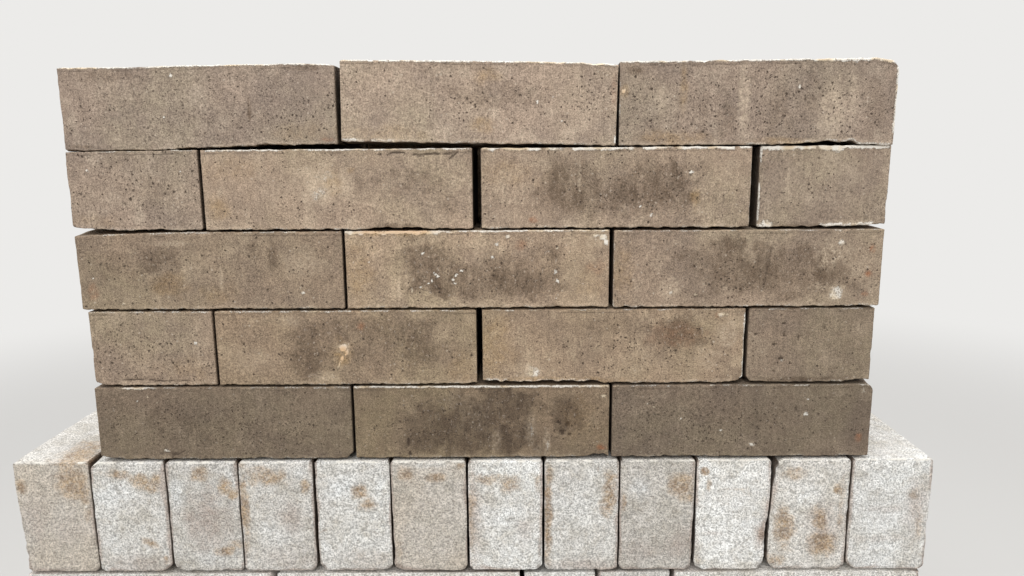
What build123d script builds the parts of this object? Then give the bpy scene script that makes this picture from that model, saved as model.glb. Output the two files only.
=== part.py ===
from build123d import *
from collections import namedtuple
import os

# A timber pallet with four layers of pale bricks set on edge, and five courses of dark bricks
# laid dry on top, at the front.
# Millimetres. +Z is up, X runs along the front, the front looks towards -Y, and the origin is
# the middle of the pallet's underside.

# Dark bricks, laid flat in the upper stack
dark_length = 215.0
dark_width = 102.5
dark_height = 65.0
dark_arris = 1.5

# Pale bricks, set on edge in the pack
pale_length = 215.0
pale_width = 102.5
pale_thickness = 64.5
pale_arris = 4.0

# The pack: blades of bricks, one behind another, in layers that alternate between headers only
# and stretchers with two headers. A layer of headers stands out a little past the mixed ones at
# each side, has as many bricks as that width takes, and shares what is left among its joints.
blade_count = 5
blade_gap = 4.0
layer_count = 4
stretchers_deep = 3
stretcher_gap = 10.75
mixed_pattern = ["stretcher", "stretcher", "header", "header", "stretcher"]
mixed_joints = [2.5, 1.0, 1.0, 1.0]
header_overhang = 2.9
tightest_joint = 0.4
header_joint_shares = [0.8, 0.9, 0.8, 1.5, 0.6, 1.0, 1.3, 0.6, 0.8, 1.9, 1.1]

# The upper stack: how far its face stands behind the face of the pack, and its courses from the
# bottom up. A course has how far its middle lies right of the pack's, its open joints from left
# to right, how far each brick stands behind the stack's face, and how far each tips, in degrees.
# A course with three joints has a brick turned end-on at each end.
stack_setback = 5.0
wythe_gap = 10.0
Course = namedtuple("Course", "shift joints setbacks tips")
courses = [
    Course(9.9, [2.1, 2.3], [0.0, 1.0, 0.5], [0.0, 0.0, 0.0]),
    Course(9.4, [2.4, 4.6, 3.1], [0.5, 0.0, 1.0, 1.5], [0.0, 0.0, 0.0, 0.0]),
    Course(8.6, [2.1, 3.3], [0.0, 1.0, 0.0], [0.0, 0.0, 0.0]),
    Course(9.6, [2.8, 7.5, 6.6], [0.5, 0.0, 1.0, 2.5], [0.0, 0.0, 0.0, 0.0]),
    Course(10.0, [4.9, 2.4], [1.5, 0.0, 0.5], [0.0, 1.3, 0.0]),
]

# The pallet, 800 by 1200: five deck boards on three cross boards, nine blocks, three runners
pallet_width = 800.0
pallet_length = 1200.0
board_thickness = 22.0
block_height = 78.0
wide_board = 145.0
narrow_board = 100.0
corner_cut = 15.0
runner_bevel = 8.0
sawn_edge = 1.0

os.makedirs("parts", exist_ok=True)


def finish(part, label):
    """Labels a finished piece and writes it."""
    part.label = label
    export_step(part, f"parts/{label}.step")


def left_edges(middle, widths, joints):
    """Where each brick of a row begins, from the row's middle, its bricks' widths and its joints."""
    edge = middle - (sum(widths) + sum(joints)) / 2
    edges = []
    for width, joint in zip(widths, joints + [0.0]):
        edges.append(edge)
        edge += width + joint
    return edges


# Heights of the pallet's tiers
block_base = board_thickness
cross_base = block_base + block_height
deck_base = cross_base + board_thickness
pack_base = deck_base + board_thickness

# Middles of the pallet's rows and columns
side_column = (pallet_width - narrow_board) / 2
end_row = (pallet_length - wide_board) / 2
columns = {
    "left": (-side_column, narrow_board),
    "middle": (0.0, wide_board),
    "right": (side_column, narrow_board),
}
rows = {"front": -end_row, "middle": 0.0, "back": end_row}


def outer_corners(part):
    """The upright edges of a piece that lie on the pallet's own corners."""
    return [
        edge
        for edge in part.edges().filter_by(Axis.Z)
        if abs(abs(edge.center().X) - pallet_width / 2) < 0.01
        and abs(abs(edge.center().Y) - pallet_length / 2) < 0.01
    ]


def sawn_piece(centre_x, centre_y, base, size_x, size_y, height):
    """A board or block with the pallet's corners cut off it and its sawn edges just broken."""
    with BuildPart() as piece:
        with BuildSketch(Plane.XY.offset(base)):
            with Locations((centre_x, centre_y)):
                Rectangle(size_x, size_y)
        extrude(amount=height)
        corners = outer_corners(piece.part)
        if corners:
            chamfer(corners, corner_cut)
        chamfer(piece.faces().filter_by(Axis.Z).edges(), sawn_edge)
    return piece.part


# Deck boards run from front to back, with equal gaps between them
deck_widths = [wide_board, narrow_board, wide_board, narrow_board, wide_board]
deck_gap = (pallet_width - sum(deck_widths)) / (len(deck_widths) - 1)
deck_left = -pallet_width / 2
for number, width in enumerate(deck_widths, start=1):
    board = sawn_piece(deck_left + width / 2, 0.0, deck_base, width, pallet_length, board_thickness)
    finish(board, f"deck_board_{number}")
    deck_left += width + deck_gap

# Cross boards tie the deck to the blocks
for row, row_y in rows.items():
    board = sawn_piece(0.0, row_y, cross_base, pallet_width, wide_board, board_thickness)
    finish(board, f"cross_board_{row}")
    for column, (column_x, width) in columns.items():
        block = sawn_piece(column_x, row_y, block_base, width, wide_board, block_height)
        finish(block, f"block_{row}_{column}")

# Runners under the blocks, bevelled between them so that a pallet truck's wheels climb over
bevel_start = end_row - wide_board / 2
bevel_end = wide_board / 2
for column, (column_x, width) in columns.items():
    sawn_runner = sawn_piece(column_x, 0.0, 0.0, width, pallet_length, board_thickness)
    with BuildPart() as runner:
        add(sawn_runner)
        for start in (-bevel_start, bevel_end):
            with BuildSketch(Plane.XZ.offset(-start)):
                for side in (-1, 1):
                    edge_x = column_x + side * width / 2
                    with BuildLine():
                        Polyline(
                            (edge_x - side * runner_bevel, board_thickness),
                            (edge_x + side * sawn_edge, board_thickness),
                            (edge_x + side * sawn_edge, board_thickness - runner_bevel),
                            (edge_x, board_thickness - runner_bevel),
                            close=True,
                        )
                    make_face()
            extrude(amount=-(bevel_start - bevel_end), mode=Mode.SUBTRACT)
    finish(runner.part, f"runner_{column}")

# One pale brick on edge, its length running from front to back
with BuildPart() as pale_header:
    Box(pale_thickness, pale_length, pale_width, align=(Align.CENTER, Align.CENTER, Align.MIN))
    chamfer(pale_header.edges(), pale_arris)

blade_depth = max(pale_length, stretchers_deep * pale_thickness + (stretchers_deep - 1) * stretcher_gap)
mixed_widths = [pale_length if laid == "stretcher" else pale_thickness for laid in mixed_pattern]
pack_width = sum(mixed_widths) + sum(mixed_joints) + 2 * header_overhang
header_count = int((pack_width + tightest_joint) // (pale_thickness + tightest_joint))
pack_depth = blade_count * blade_depth + (blade_count - 1) * blade_gap
pack_front = -pack_depth / 2
pack_top = pack_base + layer_count * pale_width


def blade_front(blade):
    """Where the front of a blade stands, counting blades from the front."""
    return pack_front + blade * (blade_depth + blade_gap)


def header_layer_places(base, turn):
    """Every brick of a layer of headers. Each blade shares out its joints from one further on."""
    places = []
    for blade in range(blade_count):
        shares = [
            header_joint_shares[(joint + blade + turn) % len(header_joint_shares)]
            for joint in range(header_count - 1)
        ]
        spare = pack_width - header_count * pale_thickness
        joints = [spare * share / sum(shares) for share in shares]
        for left in left_edges(0.0, [pale_thickness] * header_count, joints):
            centre = (left + pale_thickness / 2, blade_front(blade) + pale_length / 2, base)
            places.append(Location(centre))
    return places


def mixed_layer_places(base, turn):
    """Every brick of a layer of stretchers, three deep in each blade, with two headers among them.

    Every other blade has its row turned end for end.
    """
    places = []
    for blade in range(blade_count):
        order = -1 if (blade + turn) % 2 else 1
        lefts = left_edges(0.0, mixed_widths[::order], mixed_joints[::order])
        for laid, left in zip(mixed_pattern[::order], lefts):
            if laid == "header":
                centre = (left + pale_thickness / 2, blade_front(blade) + pale_length / 2, base)
                places.append(Location(centre))
                continue
            for depth in range(stretchers_deep):
                y = blade_front(blade) + pale_thickness / 2 + depth * (pale_thickness + stretcher_gap)
                places.append(Location((left + pale_length / 2, y, base), (0, 0, 90)))
    return places


# The layers alternate from the top one down, which is all headers
for below_top in range(layer_count):
    layer = layer_count - below_top
    layer_base = pack_base + (layer - 1) * pale_width
    lay = mixed_layer_places if below_top % 2 else header_layer_places
    with BuildPart() as pale_layer:
        with Locations(lay(layer_base, below_top // 2)):
            add(pale_header.part)
    finish(pale_layer.part, f"pale_layer_{layer}")

# One dark brick, its length running along the front
with BuildPart() as dark_brick:
    Box(dark_length, dark_width, dark_height, align=(Align.MIN, Align.MIN, Align.MIN))
    chamfer(dark_brick.edges(), dark_arris)


def lay_dark_brick(left, front, base, label, turned=False, tip=0.0):
    """Lays a dark brick with its left front bottom corner given, turned to show its end if asked.

    A brick that tips lifts its left end and stands on its lower right edge.
    """
    with BuildPart() as laid:
        if turned:
            with Locations(Location((left + dark_width, front, base), (0, 0, 90))):
                add(dark_brick.part)
        else:
            with Locations(Location((left + dark_length, front, base), (0, tip, 0))):
                with Locations((-dark_length, 0, 0)):
                    add(dark_brick.part)
    finish(laid.part, label)


# Behind the front wythe stands a second one, level with the far ends of the turned bricks, with
# the same joints from right to left.
stack_face = pack_front + stack_setback
stack_depth = max(dark_length, 2 * dark_width + wythe_gap)
back_face = stack_face + stack_depth - dark_width
for number, course in enumerate(courses, start=1):
    base = pack_top + (number - 1) * dark_height
    widths = [dark_length] * 3
    if len(course.joints) == 3:
        widths = [dark_width, dark_length, dark_length, dark_width]
    front_row = zip(left_edges(course.shift, widths, course.joints), widths, course.setbacks, course.tips)
    for place, (left, width, setback, tip) in enumerate(front_row, start=1):
        turned = width == dark_width
        lay_dark_brick(left, stack_face + setback, base, f"dark_brick_{number}_front_{place}", turned, tip)
    back_row = zip(left_edges(course.shift, widths, course.joints[::-1]), widths)
    stretchers = [left for left, width in back_row if width == dark_length]
    for place, left in enumerate(stretchers, start=1):
        lay_dark_brick(left, back_face, base, f"dark_brick_{number}_back_{place}")
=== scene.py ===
from collections import namedtuple
from itertools import product
import math
import bpy
import numpy as np
from mathutils import Matrix, Vector


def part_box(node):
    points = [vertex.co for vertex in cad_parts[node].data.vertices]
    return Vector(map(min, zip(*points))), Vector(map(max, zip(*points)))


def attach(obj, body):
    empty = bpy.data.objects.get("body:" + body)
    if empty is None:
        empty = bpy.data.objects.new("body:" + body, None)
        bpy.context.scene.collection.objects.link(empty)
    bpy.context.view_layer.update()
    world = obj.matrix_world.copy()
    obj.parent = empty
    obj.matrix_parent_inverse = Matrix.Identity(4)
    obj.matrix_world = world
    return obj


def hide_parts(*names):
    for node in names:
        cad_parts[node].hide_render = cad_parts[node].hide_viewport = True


# A pallet of bricks. A piece stands in for every solid of the frame, with the wear, soil and uneven
# edges that the solid lacks. Pieces are made in millimetres and go into their meshes in metres.

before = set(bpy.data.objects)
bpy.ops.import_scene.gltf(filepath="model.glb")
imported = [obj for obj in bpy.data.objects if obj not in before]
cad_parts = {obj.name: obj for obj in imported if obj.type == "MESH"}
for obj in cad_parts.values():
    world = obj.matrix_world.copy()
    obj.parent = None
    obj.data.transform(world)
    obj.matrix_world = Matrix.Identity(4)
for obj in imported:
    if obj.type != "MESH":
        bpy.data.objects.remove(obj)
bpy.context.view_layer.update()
scene = bpy.context.scene

# The photograph's view: focal length in pixels, turn, tilt and roll in degrees, place in metres
IMAGE_WIDTH = 1024
FOCAL_PIXELS = 769.5
YAW, TILT, ROLL = -0.29, 10.58, -0.36
CAMERA_PLACE = (0.03915, -1.1587, 0.8177)


def make_camera():
    data = bpy.data.cameras.new("camera")
    data.sensor_width = 36
    data.lens = data.sensor_width * FOCAL_PIXELS / IMAGE_WIDTH
    camera = bpy.data.objects.new("camera", data)
    scene.collection.objects.link(camera)
    yaw, tilt, roll = (math.radians(a) for a in (YAW, TILT, ROLL))
    ahead = Vector((math.sin(yaw) * math.cos(tilt), math.cos(yaw) * math.cos(tilt), -math.sin(tilt)))
    level = Vector((math.cos(yaw), -math.sin(yaw), 0))
    upright = level.cross(ahead)
    right = math.cos(roll) * level + math.sin(roll) * upright
    up = -math.sin(roll) * level + math.cos(roll) * upright
    matrix = Matrix((right, up, -ahead)).transposed().to_4x4()
    matrix.translation = Vector(CAMERA_PLACE)
    camera.matrix_world = matrix
    scene.camera = camera


# Noise, the same on every run
def smooth(a, b, x):
    t = np.clip((x - a) / (b - a), 0, 1)
    return t * t * (3 - 2 * t)


def hashed(ix, iy, iz, seed):
    """A number from 0 to 1 for each whole place, with no order to be seen in them."""
    h = (ix * 374761393 + iy * 668265263 + iz * 1440662683 + seed * 2246822519) & 0xFFFFFFFF
    h = ((h ^ (h >> 13)) * 1274126177) & 0xFFFFFFFF
    h = ((h ^ (h >> 15)) * 2654435761) & 0xFFFFFFFF
    return (h ^ (h >> 16)) / 4294967296.0


def noise(p, size, seed):
    """Smooth noise from 0 to 1 at points p, with features of the given size (one number or three)."""
    q = p / np.asarray(size, float)
    i = np.floor(q).astype(np.int64)
    f = q - i
    f = f * f * (3 - 2 * f)
    total = 0
    for corner in product((0, 1), repeat=3):
        x, y, z = (f[:, axis] if far else 1 - f[:, axis] for axis, far in enumerate(corner))
        total = total + x * y * z * hashed(*(i + corner).T, seed)
    return total


def layered(p, size, seed, octaves=3):
    """Noise on noise, each octave half the size of the one before and a little over half as strong."""
    total, weight, amount = 0, 0, 1.0
    for octave in range(octaves):
        total = total + amount * noise(p, size / 2 ** octave, seed + 31 * octave)
        weight += amount
        amount *= 0.55
    return total / weight


# Boxes of fine mesh
def grid(length, step, near, far=None):
    """Places of the grid lines along one side: those near its ends, and between them one each step."""
    far = near if far is None else far
    count = max(1, int(round((length - near[-1] - far[-1]) / step)))
    middle = np.linspace(near[-1], length - far[-1], count + 1)
    return np.concatenate([near[:-1], middle, length - np.array(far[:-1])[::-1]])


def ring(ids):
    """The border of a grid of numbers, once around."""
    return np.concatenate([ids[0, :-1], ids[:-1, -1], ids[-1, :0:-1], ids[:0:-1, 0]])


def shell(xs, ys, zs, caps=()):
    """The surface of a box on a lattice. A side named in caps is closed by a single face."""
    used = np.zeros((len(xs), len(ys), len(zs)), bool)
    sides = {
        "left": (np.s_[0, :, :], False),
        "right": (np.s_[-1, :, :], True),
        "front": (np.s_[:, 0, :], True),
        "back": (np.s_[:, -1, :], False),
        "bottom": (np.s_[:, :, 0], False),
        "top": (np.s_[:, :, -1], True),
    }
    for name, (where, _) in sides.items():
        if name not in caps:
            used[where] = True
        else:
            edge = used[where]
            edge[0, :] = edge[-1, :] = edge[:, 0] = edge[:, -1] = True
    ids = np.full(used.shape, -1, np.int64)
    ids[used] = np.arange(used.sum())
    i, j, k = np.nonzero(used)
    points = np.stack([xs[i], ys[j], zs[k]], 1)
    quads, loops = [np.zeros((0, 4), np.int64)], []
    for name, (where, straight) in sides.items():
        ids_here = ids[where]
        if name in caps:
            loop = ring(ids_here)
            loops.append(loop[::-1] if straight else loop)
            continue
        a, b, c, d = ids_here[:-1, :-1], ids_here[1:, :-1], ids_here[1:, 1:], ids_here[:-1, 1:]
        order = (a, b, c, d) if straight else (a, d, c, b)
        quads.append(np.stack([q.ravel() for q in order], 1))
    return points, np.concatenate(quads), loops


def round_edges(p, size, a, b, radius, cut=False):
    """Rounds the four edges along the third axis, by a radius that may differ from point to point,
    or cuts them off at 45 degrees."""
    ha, hb = p[:, a] > size[a] / 2, p[:, b] > size[b] / 2
    da = np.where(ha, size[a] - p[:, a], p[:, a])
    db = np.where(hb, size[b] - p[:, b], p[:, b])
    va, vb = np.maximum(radius - da, 0), np.maximum(radius - db, 0)
    near = (va > 0) & (vb > 0)
    longest, length = np.maximum(va, vb), va + vb if cut else np.hypot(va, vb)
    scale = np.where(near, longest / np.maximum(length, 1e-9), 1)
    da, db = np.where(near, radius - va * scale, da), np.where(near, radius - vb * scale, db)
    p[:, a] = np.where(ha, size[a] - da, da)
    p[:, b] = np.where(hb, size[b] - db, db)


def outward(p, size, reach):
    """Directions out of a box, turning smoothly within this reach of its edges."""
    d = p - np.clip(p, reach, size - reach)
    return d / np.maximum(np.linalg.norm(d, axis=1), 1e-9)[:, None]


# Marks on a brick's front, or on its top behind the front's top edge: place and half sizes in
# millimetres, strength, and lean in degrees
def kind_of_mark(kind):
    def mark(x, z, half_width, half_height, amount=1.0, lean=0.0):
        return kind, x, z, half_width, half_height, amount, lean
    return mark


# Marks that paint, and those that also shape: chips, pits and cracks
dark, black, light, ochre, rust, white, pits, bloom, mauve, top_ochre, chip, pit, line = (
    kind_of_mark(kind) for kind in (
        "dark", "black", "light", "ochre", "rust", "white", "pits", "bloom", "mauve", "top ochre",
        "chip", "pit", "line"))


def spot(p, x, z, rx, rz, lean, seed, blur=0.0):
    """How far each point of the front lies in a ragged oval of those half sizes, leaning in degrees."""
    c, s = math.cos(math.radians(lean)), math.sin(math.radians(lean))
    dx, dz = p[:, 0] - x, p[:, 2] - z
    d = np.hypot((c * dx - s * dz) / rx, (s * dx + c * dz) / rz)
    reach = max(rx, rz)
    if reach > 6:
        d = d + 1.1 * (layered(p, 9.0, seed) - 0.5)
        return 1 - smooth(0.35 - blur, 1.3 + blur, d)
    d = d + 0.9 * (layered(p, 0.9 * reach, seed, 2) - 0.5)
    return 1 - smooth(0.4, 1.2, d)


# What a point of a piece says to its material
ATTRIBUTES = ("tone", "warm", "dark", "black", "light", "ochre", "rust", "white", "pits", "bloom", "mauve")
# How far a seed moves a piece through the noise
SEED_STEP = np.array([977.0, 613.0, 389.0])

# How a kind of brick is worn and shaded: least and further radius of its arrises, depth of its waves, warps
# and roughness, how far its faces fall off to their edges, how much of all this its ends and beds take, how
# ragged its edges are, how dark the painted shadow line below its top edge is, and how blurred its marks are
Make = namedtuple("Make", "arris inset warp rough pillow sides ragged creased blur")
DARK_MAKE = Make((0.5, 0.9), 0.35, 0.7, 0.25, 0.0, (0.22, 0.22), 1.0, 0.5, 0.0)
PALE_MAKE = Make((1.3, 1.6), 1.1, 0.6, 0.5, 0.5, (0.38, 0.5), 0.6, 0.0, 0.25)


class Brick:
    """One brick in its own millimetres: its left front bottom corner is the origin, its front looks
    to -Y. p holds its points as they wear, base the same on the sharp box, q where they read noise."""

    def __init__(self, make, size, places, seed, caps, tone, warm):
        self.make, self.seed = make, seed
        self.size = np.asarray(size, float)
        self.base, self.quads, self.loops = shell(*places, caps)
        self.p = self.base.copy()
        self.q = self.base + SEED_STEP * (seed % 97) / 13.0
        self.x, self.y, self.z = self.base.T
        self.from_right, self.from_top = self.size[0] - self.x, self.size[2] - self.z
        self.right_half, self.top_half = self.x > self.size[0] / 2, self.z > self.size[2] / 2
        self.near_front = 1 - smooth(4, 26, self.y)
        self.front = (self.y < 3).astype(float)
        self.uneven = layered(self.q, 3.0, 14, 2)
        self.corner_area = np.zeros(len(self.p))
        self.values = {name: np.zeros(len(self.p)) for name in ATTRIBUTES}
        self.values["tone"] += tone
        self.values["warm"] += warm
        # Sides that face a joint are in its shade and hold its dust
        self.values["joint"] = smooth(1.2, 5.0, self.y) * (np.minimum(self.x, self.from_right) < 1.5)

    def noise(self, size, seed):
        return noise(self.q, size, seed)

    def stain(self, name, amount):
        self.values[name] = np.maximum(self.values[name], amount)

    def wear_arrises(self, corners):
        """A base radius, a ragged part, now and then a chip, and round corners of the front's outline."""
        small, large = self.make.arris
        for axes, rare, deep, (broad, fine, chips) in (
                ((1, 2), (0.72, 0.88), 2.0, (1, 2, 5)), ((0, 1), (0.74, 0.90), 1.6, (3, 4, 6))):
            chipped = smooth(*rare, self.noise(13, chips)) * deep
            radius = small + large * self.noise(5.5, broad) ** 1.5 + 0.7 * large * self.noise(2.0, fine)
            round_edges(self.p, self.size, *axes, radius + chipped)
        blunt = 1.0 if self.make.pillow else 0.55
        radius = small + blunt * large * (0.4 * blunt + self.noise(7, 7))
        for side, level, r in corners:
            here = (self.right_half == (side == "right")) & (self.top_half == (level == "top"))
            r = r * (0.85 + 0.3 * self.noise(5, 8))
            away = np.hypot(self.from_right if side == "right" else self.x,
                            self.from_top if level == "top" else self.z)
            area = here * self.near_front * (1 - smooth(0.5 * r, 1.1 * r, away))
            self.corner_area = np.maximum(self.corner_area, area)
            radius = np.maximum(radius, np.where(here, radius + (r - radius) * self.near_front, radius))
        round_edges(self.p, self.size, 0, 2, radius)

    def draw_in(self, bites):
        """Moves side edges of the front inwards, where it is told to and, on pale bricks, at random."""
        for side, level, half, deep in bites:
            drawn = deep * (1 - smooth(0.25, 1.0, np.abs(self.z - level) / half))
            drawn = drawn * (0.7 + 0.6 * self.noise(4, 24))
            across = self.x if side == "left" else self.from_right
            drawn = drawn * self.near_front * (1 - smooth(0, 14, across))
            self.p[:, 0] += drawn if side == "left" else -drawn
        if self.make.pillow:
            inwards = np.where(self.right_half, -1.0, 1.0) * self.near_front
            inwards = inwards * (1 - smooth(0, 14, np.minimum(self.x, self.from_right)))
            self.p[:, 0] += 0.8 * inwards * noise(self.q * (1, 0.3, 1), 15, 25) ** 2

    def bend_edges(self, lift, drop):
        """Lifts the front's bottom edge and lowers its top edge, by heights that follow x."""
        ragged = self.make.ragged
        along = self.q * (1, 0.3, 0)
        h = np.interp(self.x, *zip(*lift)) + (0.0 if self.make.pillow else 0.6)
        reaching_in = 1 - smooth(0.3, 1.0, self.y / (5 + 18 * h))
        h = h * (0.8 + 0.4 * noise(along, 4, 9))
        h = h + ragged * (0.8 * noise(along, 2.2, 21) + 0.9 * noise(along, 7, 22) ** 2)
        self.p[:, 2] += h * (1 - smooth(0, 12, self.z)) * reaching_in
        h = np.interp(self.x, *zip(*drop))
        h = h * (0.85 + 0.3 * noise(along, 4, 10)) + 0.45 * ragged * noise(along, 3, 23)
        self.p[:, 2] -= h * (1 - smooth(0, 12, self.from_top)) * self.near_front

    def rub_faces(self):
        """Waves, slow warps and a rough skin, all of them inwards, and on pale bricks swelling faces."""
        sink = self.make.inset * self.noise(34, 11) + self.make.warp * smooth(0.25, 0.8, self.noise(75, 12))
        self.sink = sink + self.make.rough * layered(self.q, 3.4, 13, 2)
        if self.make.pillow:
            across = np.abs(self.x / self.size[0] - 0.5) * 2
            along = np.abs(self.z / self.size[2] - 0.5) * 2
            self.sink = self.sink + self.make.pillow * (across ** 4 + along ** 4) * (self.y < 1)

    def mark(self, seed, kind, x, z, rx, rz, amount, lean):
        """One mark on the front, or on the top if its kind says so."""
        where, shown = self.base, self.front
        if kind == "top ochre":
            kind, where, shown = "ochre", self.base[:, [0, 2, 1]], self.from_top < 3
        m = spot(where, x, z, rx, rz, lean, seed, self.make.blur) * amount * shown
        if kind == "dark":
            self.values["dark"] = 1 - (1 - self.values["dark"]) * (1 - m)
        elif kind == "chip":
            self.stain("white", m)
            # Painted shade below the chip, which stands out of the face
            below = spot(self.base, x, z - rz, rx * 1.2, rz * 0.8, lean, self.seed) * self.front
            self.stain("black", 0.6 * below * (1 - m))
            self.sink = self.sink - 0.5 * m
        elif kind == "pit":
            self.stain("black", m)
            self.sink = self.sink + 1.4 * m
        elif kind == "line":
            c, s = math.cos(math.radians(lean)), math.sin(math.radians(lean))
            run, off = c * (self.x - x) - s * (self.z - z), s * (self.x - x) + c * (self.z - z)
            winding = 5.0 if abs(lean) < 20 else 1.5
            off = off + winding * (layered(self.q * (1, 0, 1), 16, 18, 3) - 0.5)
            m = (1 - smooth(0.2, 1.0, np.abs(off) / rz)) * (1 - smooth(0.7, 1.0, np.abs(run) / rx))
            m = m * self.front * amount * smooth(0.05, 0.35, self.noise(5, 19))
            self.stain("black", m)
            self.sink = self.sink + 0.8 * m
        else:
            self.stain(kind, m)

    def add_crumbs_and_highlight(self, edge, start, end, tall):
        """Pale crumbs that stand along a stretch of an edge of the front, with a painted highlight where
        they run along the top edge, and a haze over bottom ones.
        """
        low = tall < 2
        bottom = edge == "bottom"
        hazy = bottom and not self.make.pillow
        along = self.x if edge in ("top", "bottom") else self.z
        across = {"top": self.from_top, "bottom": self.z, "left": self.x, "right": self.from_right}[edge]
        inside = smooth(start - 2, start + 2, along) * (1 - smooth(end - 2, end + 2, along))
        reach = tall * (0.35 + 1.1 * self.uneven) * (1.7 if hazy else 1.0)
        broken = smooth(0.34, 0.58, self.noise(6, 15)) if low else smooth(0.05, 0.35, self.noise(7, 15))
        m = inside * broken * (1 - smooth(0.4, 1.0, across / np.maximum(reach, 0.05)))
        m = m * self.near_front * (self.y < 4)
        self.stain("white", min(1.0, (0.36 if low else 0.5) + 0.13 * tall) * (0.85 if bottom else 1.0) * m)
        if hazy:
            haze = inside * (1 - smooth(0.3, 1.3, across / (2.2 * tall)))
            haze = haze * smooth(0.3, 0.6, self.noise((11, 9, 9), 17))
            self.stain("light", 0.5 * haze * self.near_front * (self.y < 4))
        self.sink = self.sink - 0.35 * m * (0.4 + self.uneven)

    def stain_and_shade_edges(self):
        """Brown along the outline of a pale brick, painted shade in round corners, and a painted shadow line
        below the top edge.
        """
        if self.make.pillow:
            away = np.minimum(np.minimum(self.x, self.from_right), self.z)
            away = away / (1.0 + 7.0 * self.noise(15, 26) ** 2)
            band = (1 - smooth(0.5, 1.1, away)) * smooth(0.30, 0.60, self.noise(24, 27))
            band = band * self.near_front * (self.y < 6)
            self.stain("mauve", 0.95 * band)
            self.stain("ochre", 0.18 * band)
        # Painted shade in the round corners of the front's outline
        self.stain("black", 0.4 * self.corner_area * self.front)
        # A painted shadow line below the top edge
        top_shadow_line = smooth(1.6, 2.4, self.from_top) * (1 - smooth(2.8, 4.2, self.from_top))
        top_shadow_line = top_shadow_line * smooth(0.35, 0.7, self.noise((14, 9, 3), 16))
        self.stain("black", self.make.creased * top_shadow_line * self.front)

    def sink_faces(self):
        n = outward(self.base, self.size, 2.5)
        worn = np.maximum(self.sink, 0.0)
        end_share, bed_share = self.make.sides
        self.p[:, 0] -= end_share * n[:, 0] * worn
        self.p[:, 1] -= n[:, 1] * worn
        self.p[:, 2] -= bed_share * n[:, 2] * worn * (1 - 0.95 * smooth(3, 14, self.y))


def brick(make, size, places, seed, caps, marks, tone, warm=0.5, corners=(), bites=(),
          lift=((0, 0.2), (300, 0.2)), drop=((0, 0), (300, 0)), lips=()):
    """A worn brick's points, quads, larger faces and values. size is in millimetres, and places holds
    the grid lines along each side.

    corners: (left or right, bottom or top, radius) of the front's outline. bites: (left or right, z,
    half height, depth) where a side edge of the front draws in. lift and drop: (x, height) pairs along
    the front's bottom and top edges. lips: (edge, from, to, height) of pale crumbs, which along a top
    edge also paint a highlight.
    """
    made = Brick(make, size, places, seed, caps, tone, warm)
    made.wear_arrises(corners)
    made.draw_in(bites)
    made.bend_edges(lift, drop)
    made.rub_faces()
    for number, mark in enumerate(marks):
        made.mark(seed + number, *mark)
    for lip in lips:
        made.add_crumbs_and_highlight(*lip)
    made.stain_and_shade_edges()
    made.sink_faces()
    return made.p, made.quads, made.loops, made.values


def shade_joints(values, left, right, x, length, amount):
    """Paints shade on the ends that face a neighbour, left or right, darker and with dark patches, and
    leaves the open ones.
    """
    faces = values.pop("joint") * np.where(x < length / 2, float(left), float(right))
    values["tone"] *= 1 - amount * faces
    values["dark"] = np.maximum(values["dark"], 0.5 * faces)


class Pile:
    """Surfaces gathered into one mesh."""

    def __init__(self):
        self.points, self.quads, self.loops = [], [], []
        self.values = {}
        self.count = 0

    def add(self, points, quads, loops, values):
        self.points.append(points)
        self.quads.append(quads + self.count)
        self.loops += [loop + self.count for loop in loops]
        for name in values:
            self.values.setdefault(name, []).append(values[name])
        self.count += len(points)

    def piece(self, name, material, slot, *nodes):
        mesh = bpy.data.meshes.new(name)
        faces = np.concatenate(self.quads).tolist() + [loop.tolist() for loop in self.loops]
        mesh.from_pydata(np.concatenate(self.points) / 1000.0, [], faces)
        mesh.shade_smooth()
        mesh.validate()
        for attribute, parts in self.values.items():
            values = np.concatenate(parts)
            kind, key = ("FLOAT", "value") if values.ndim == 1 else ("FLOAT_VECTOR", "vector")
            layer = mesh.attributes.new(attribute, kind, "POINT")
            layer.data.foreach_set(key, values.ravel())
        mesh.materials.append(material)
        piece = bpy.data.objects.new(name, mesh)
        scene.collection.objects.link(piece)
        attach(piece, "root")
        if nodes:
            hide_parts(*nodes)


def one_piece(name, surface, material, slot, node):
    pile = Pile()
    pile.add(*surface)
    pile.piece(name, material, slot, node)


# Materials
def rgb(*channels):
    """An sRGB colour in 0 to 255 as the shader wants it."""
    shares = (channel / 255 for channel in channels)
    return tuple(c / 12.92 if c <= 0.04045 else ((c + 0.055) / 1.055) ** 2.4 for c in shares)


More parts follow.
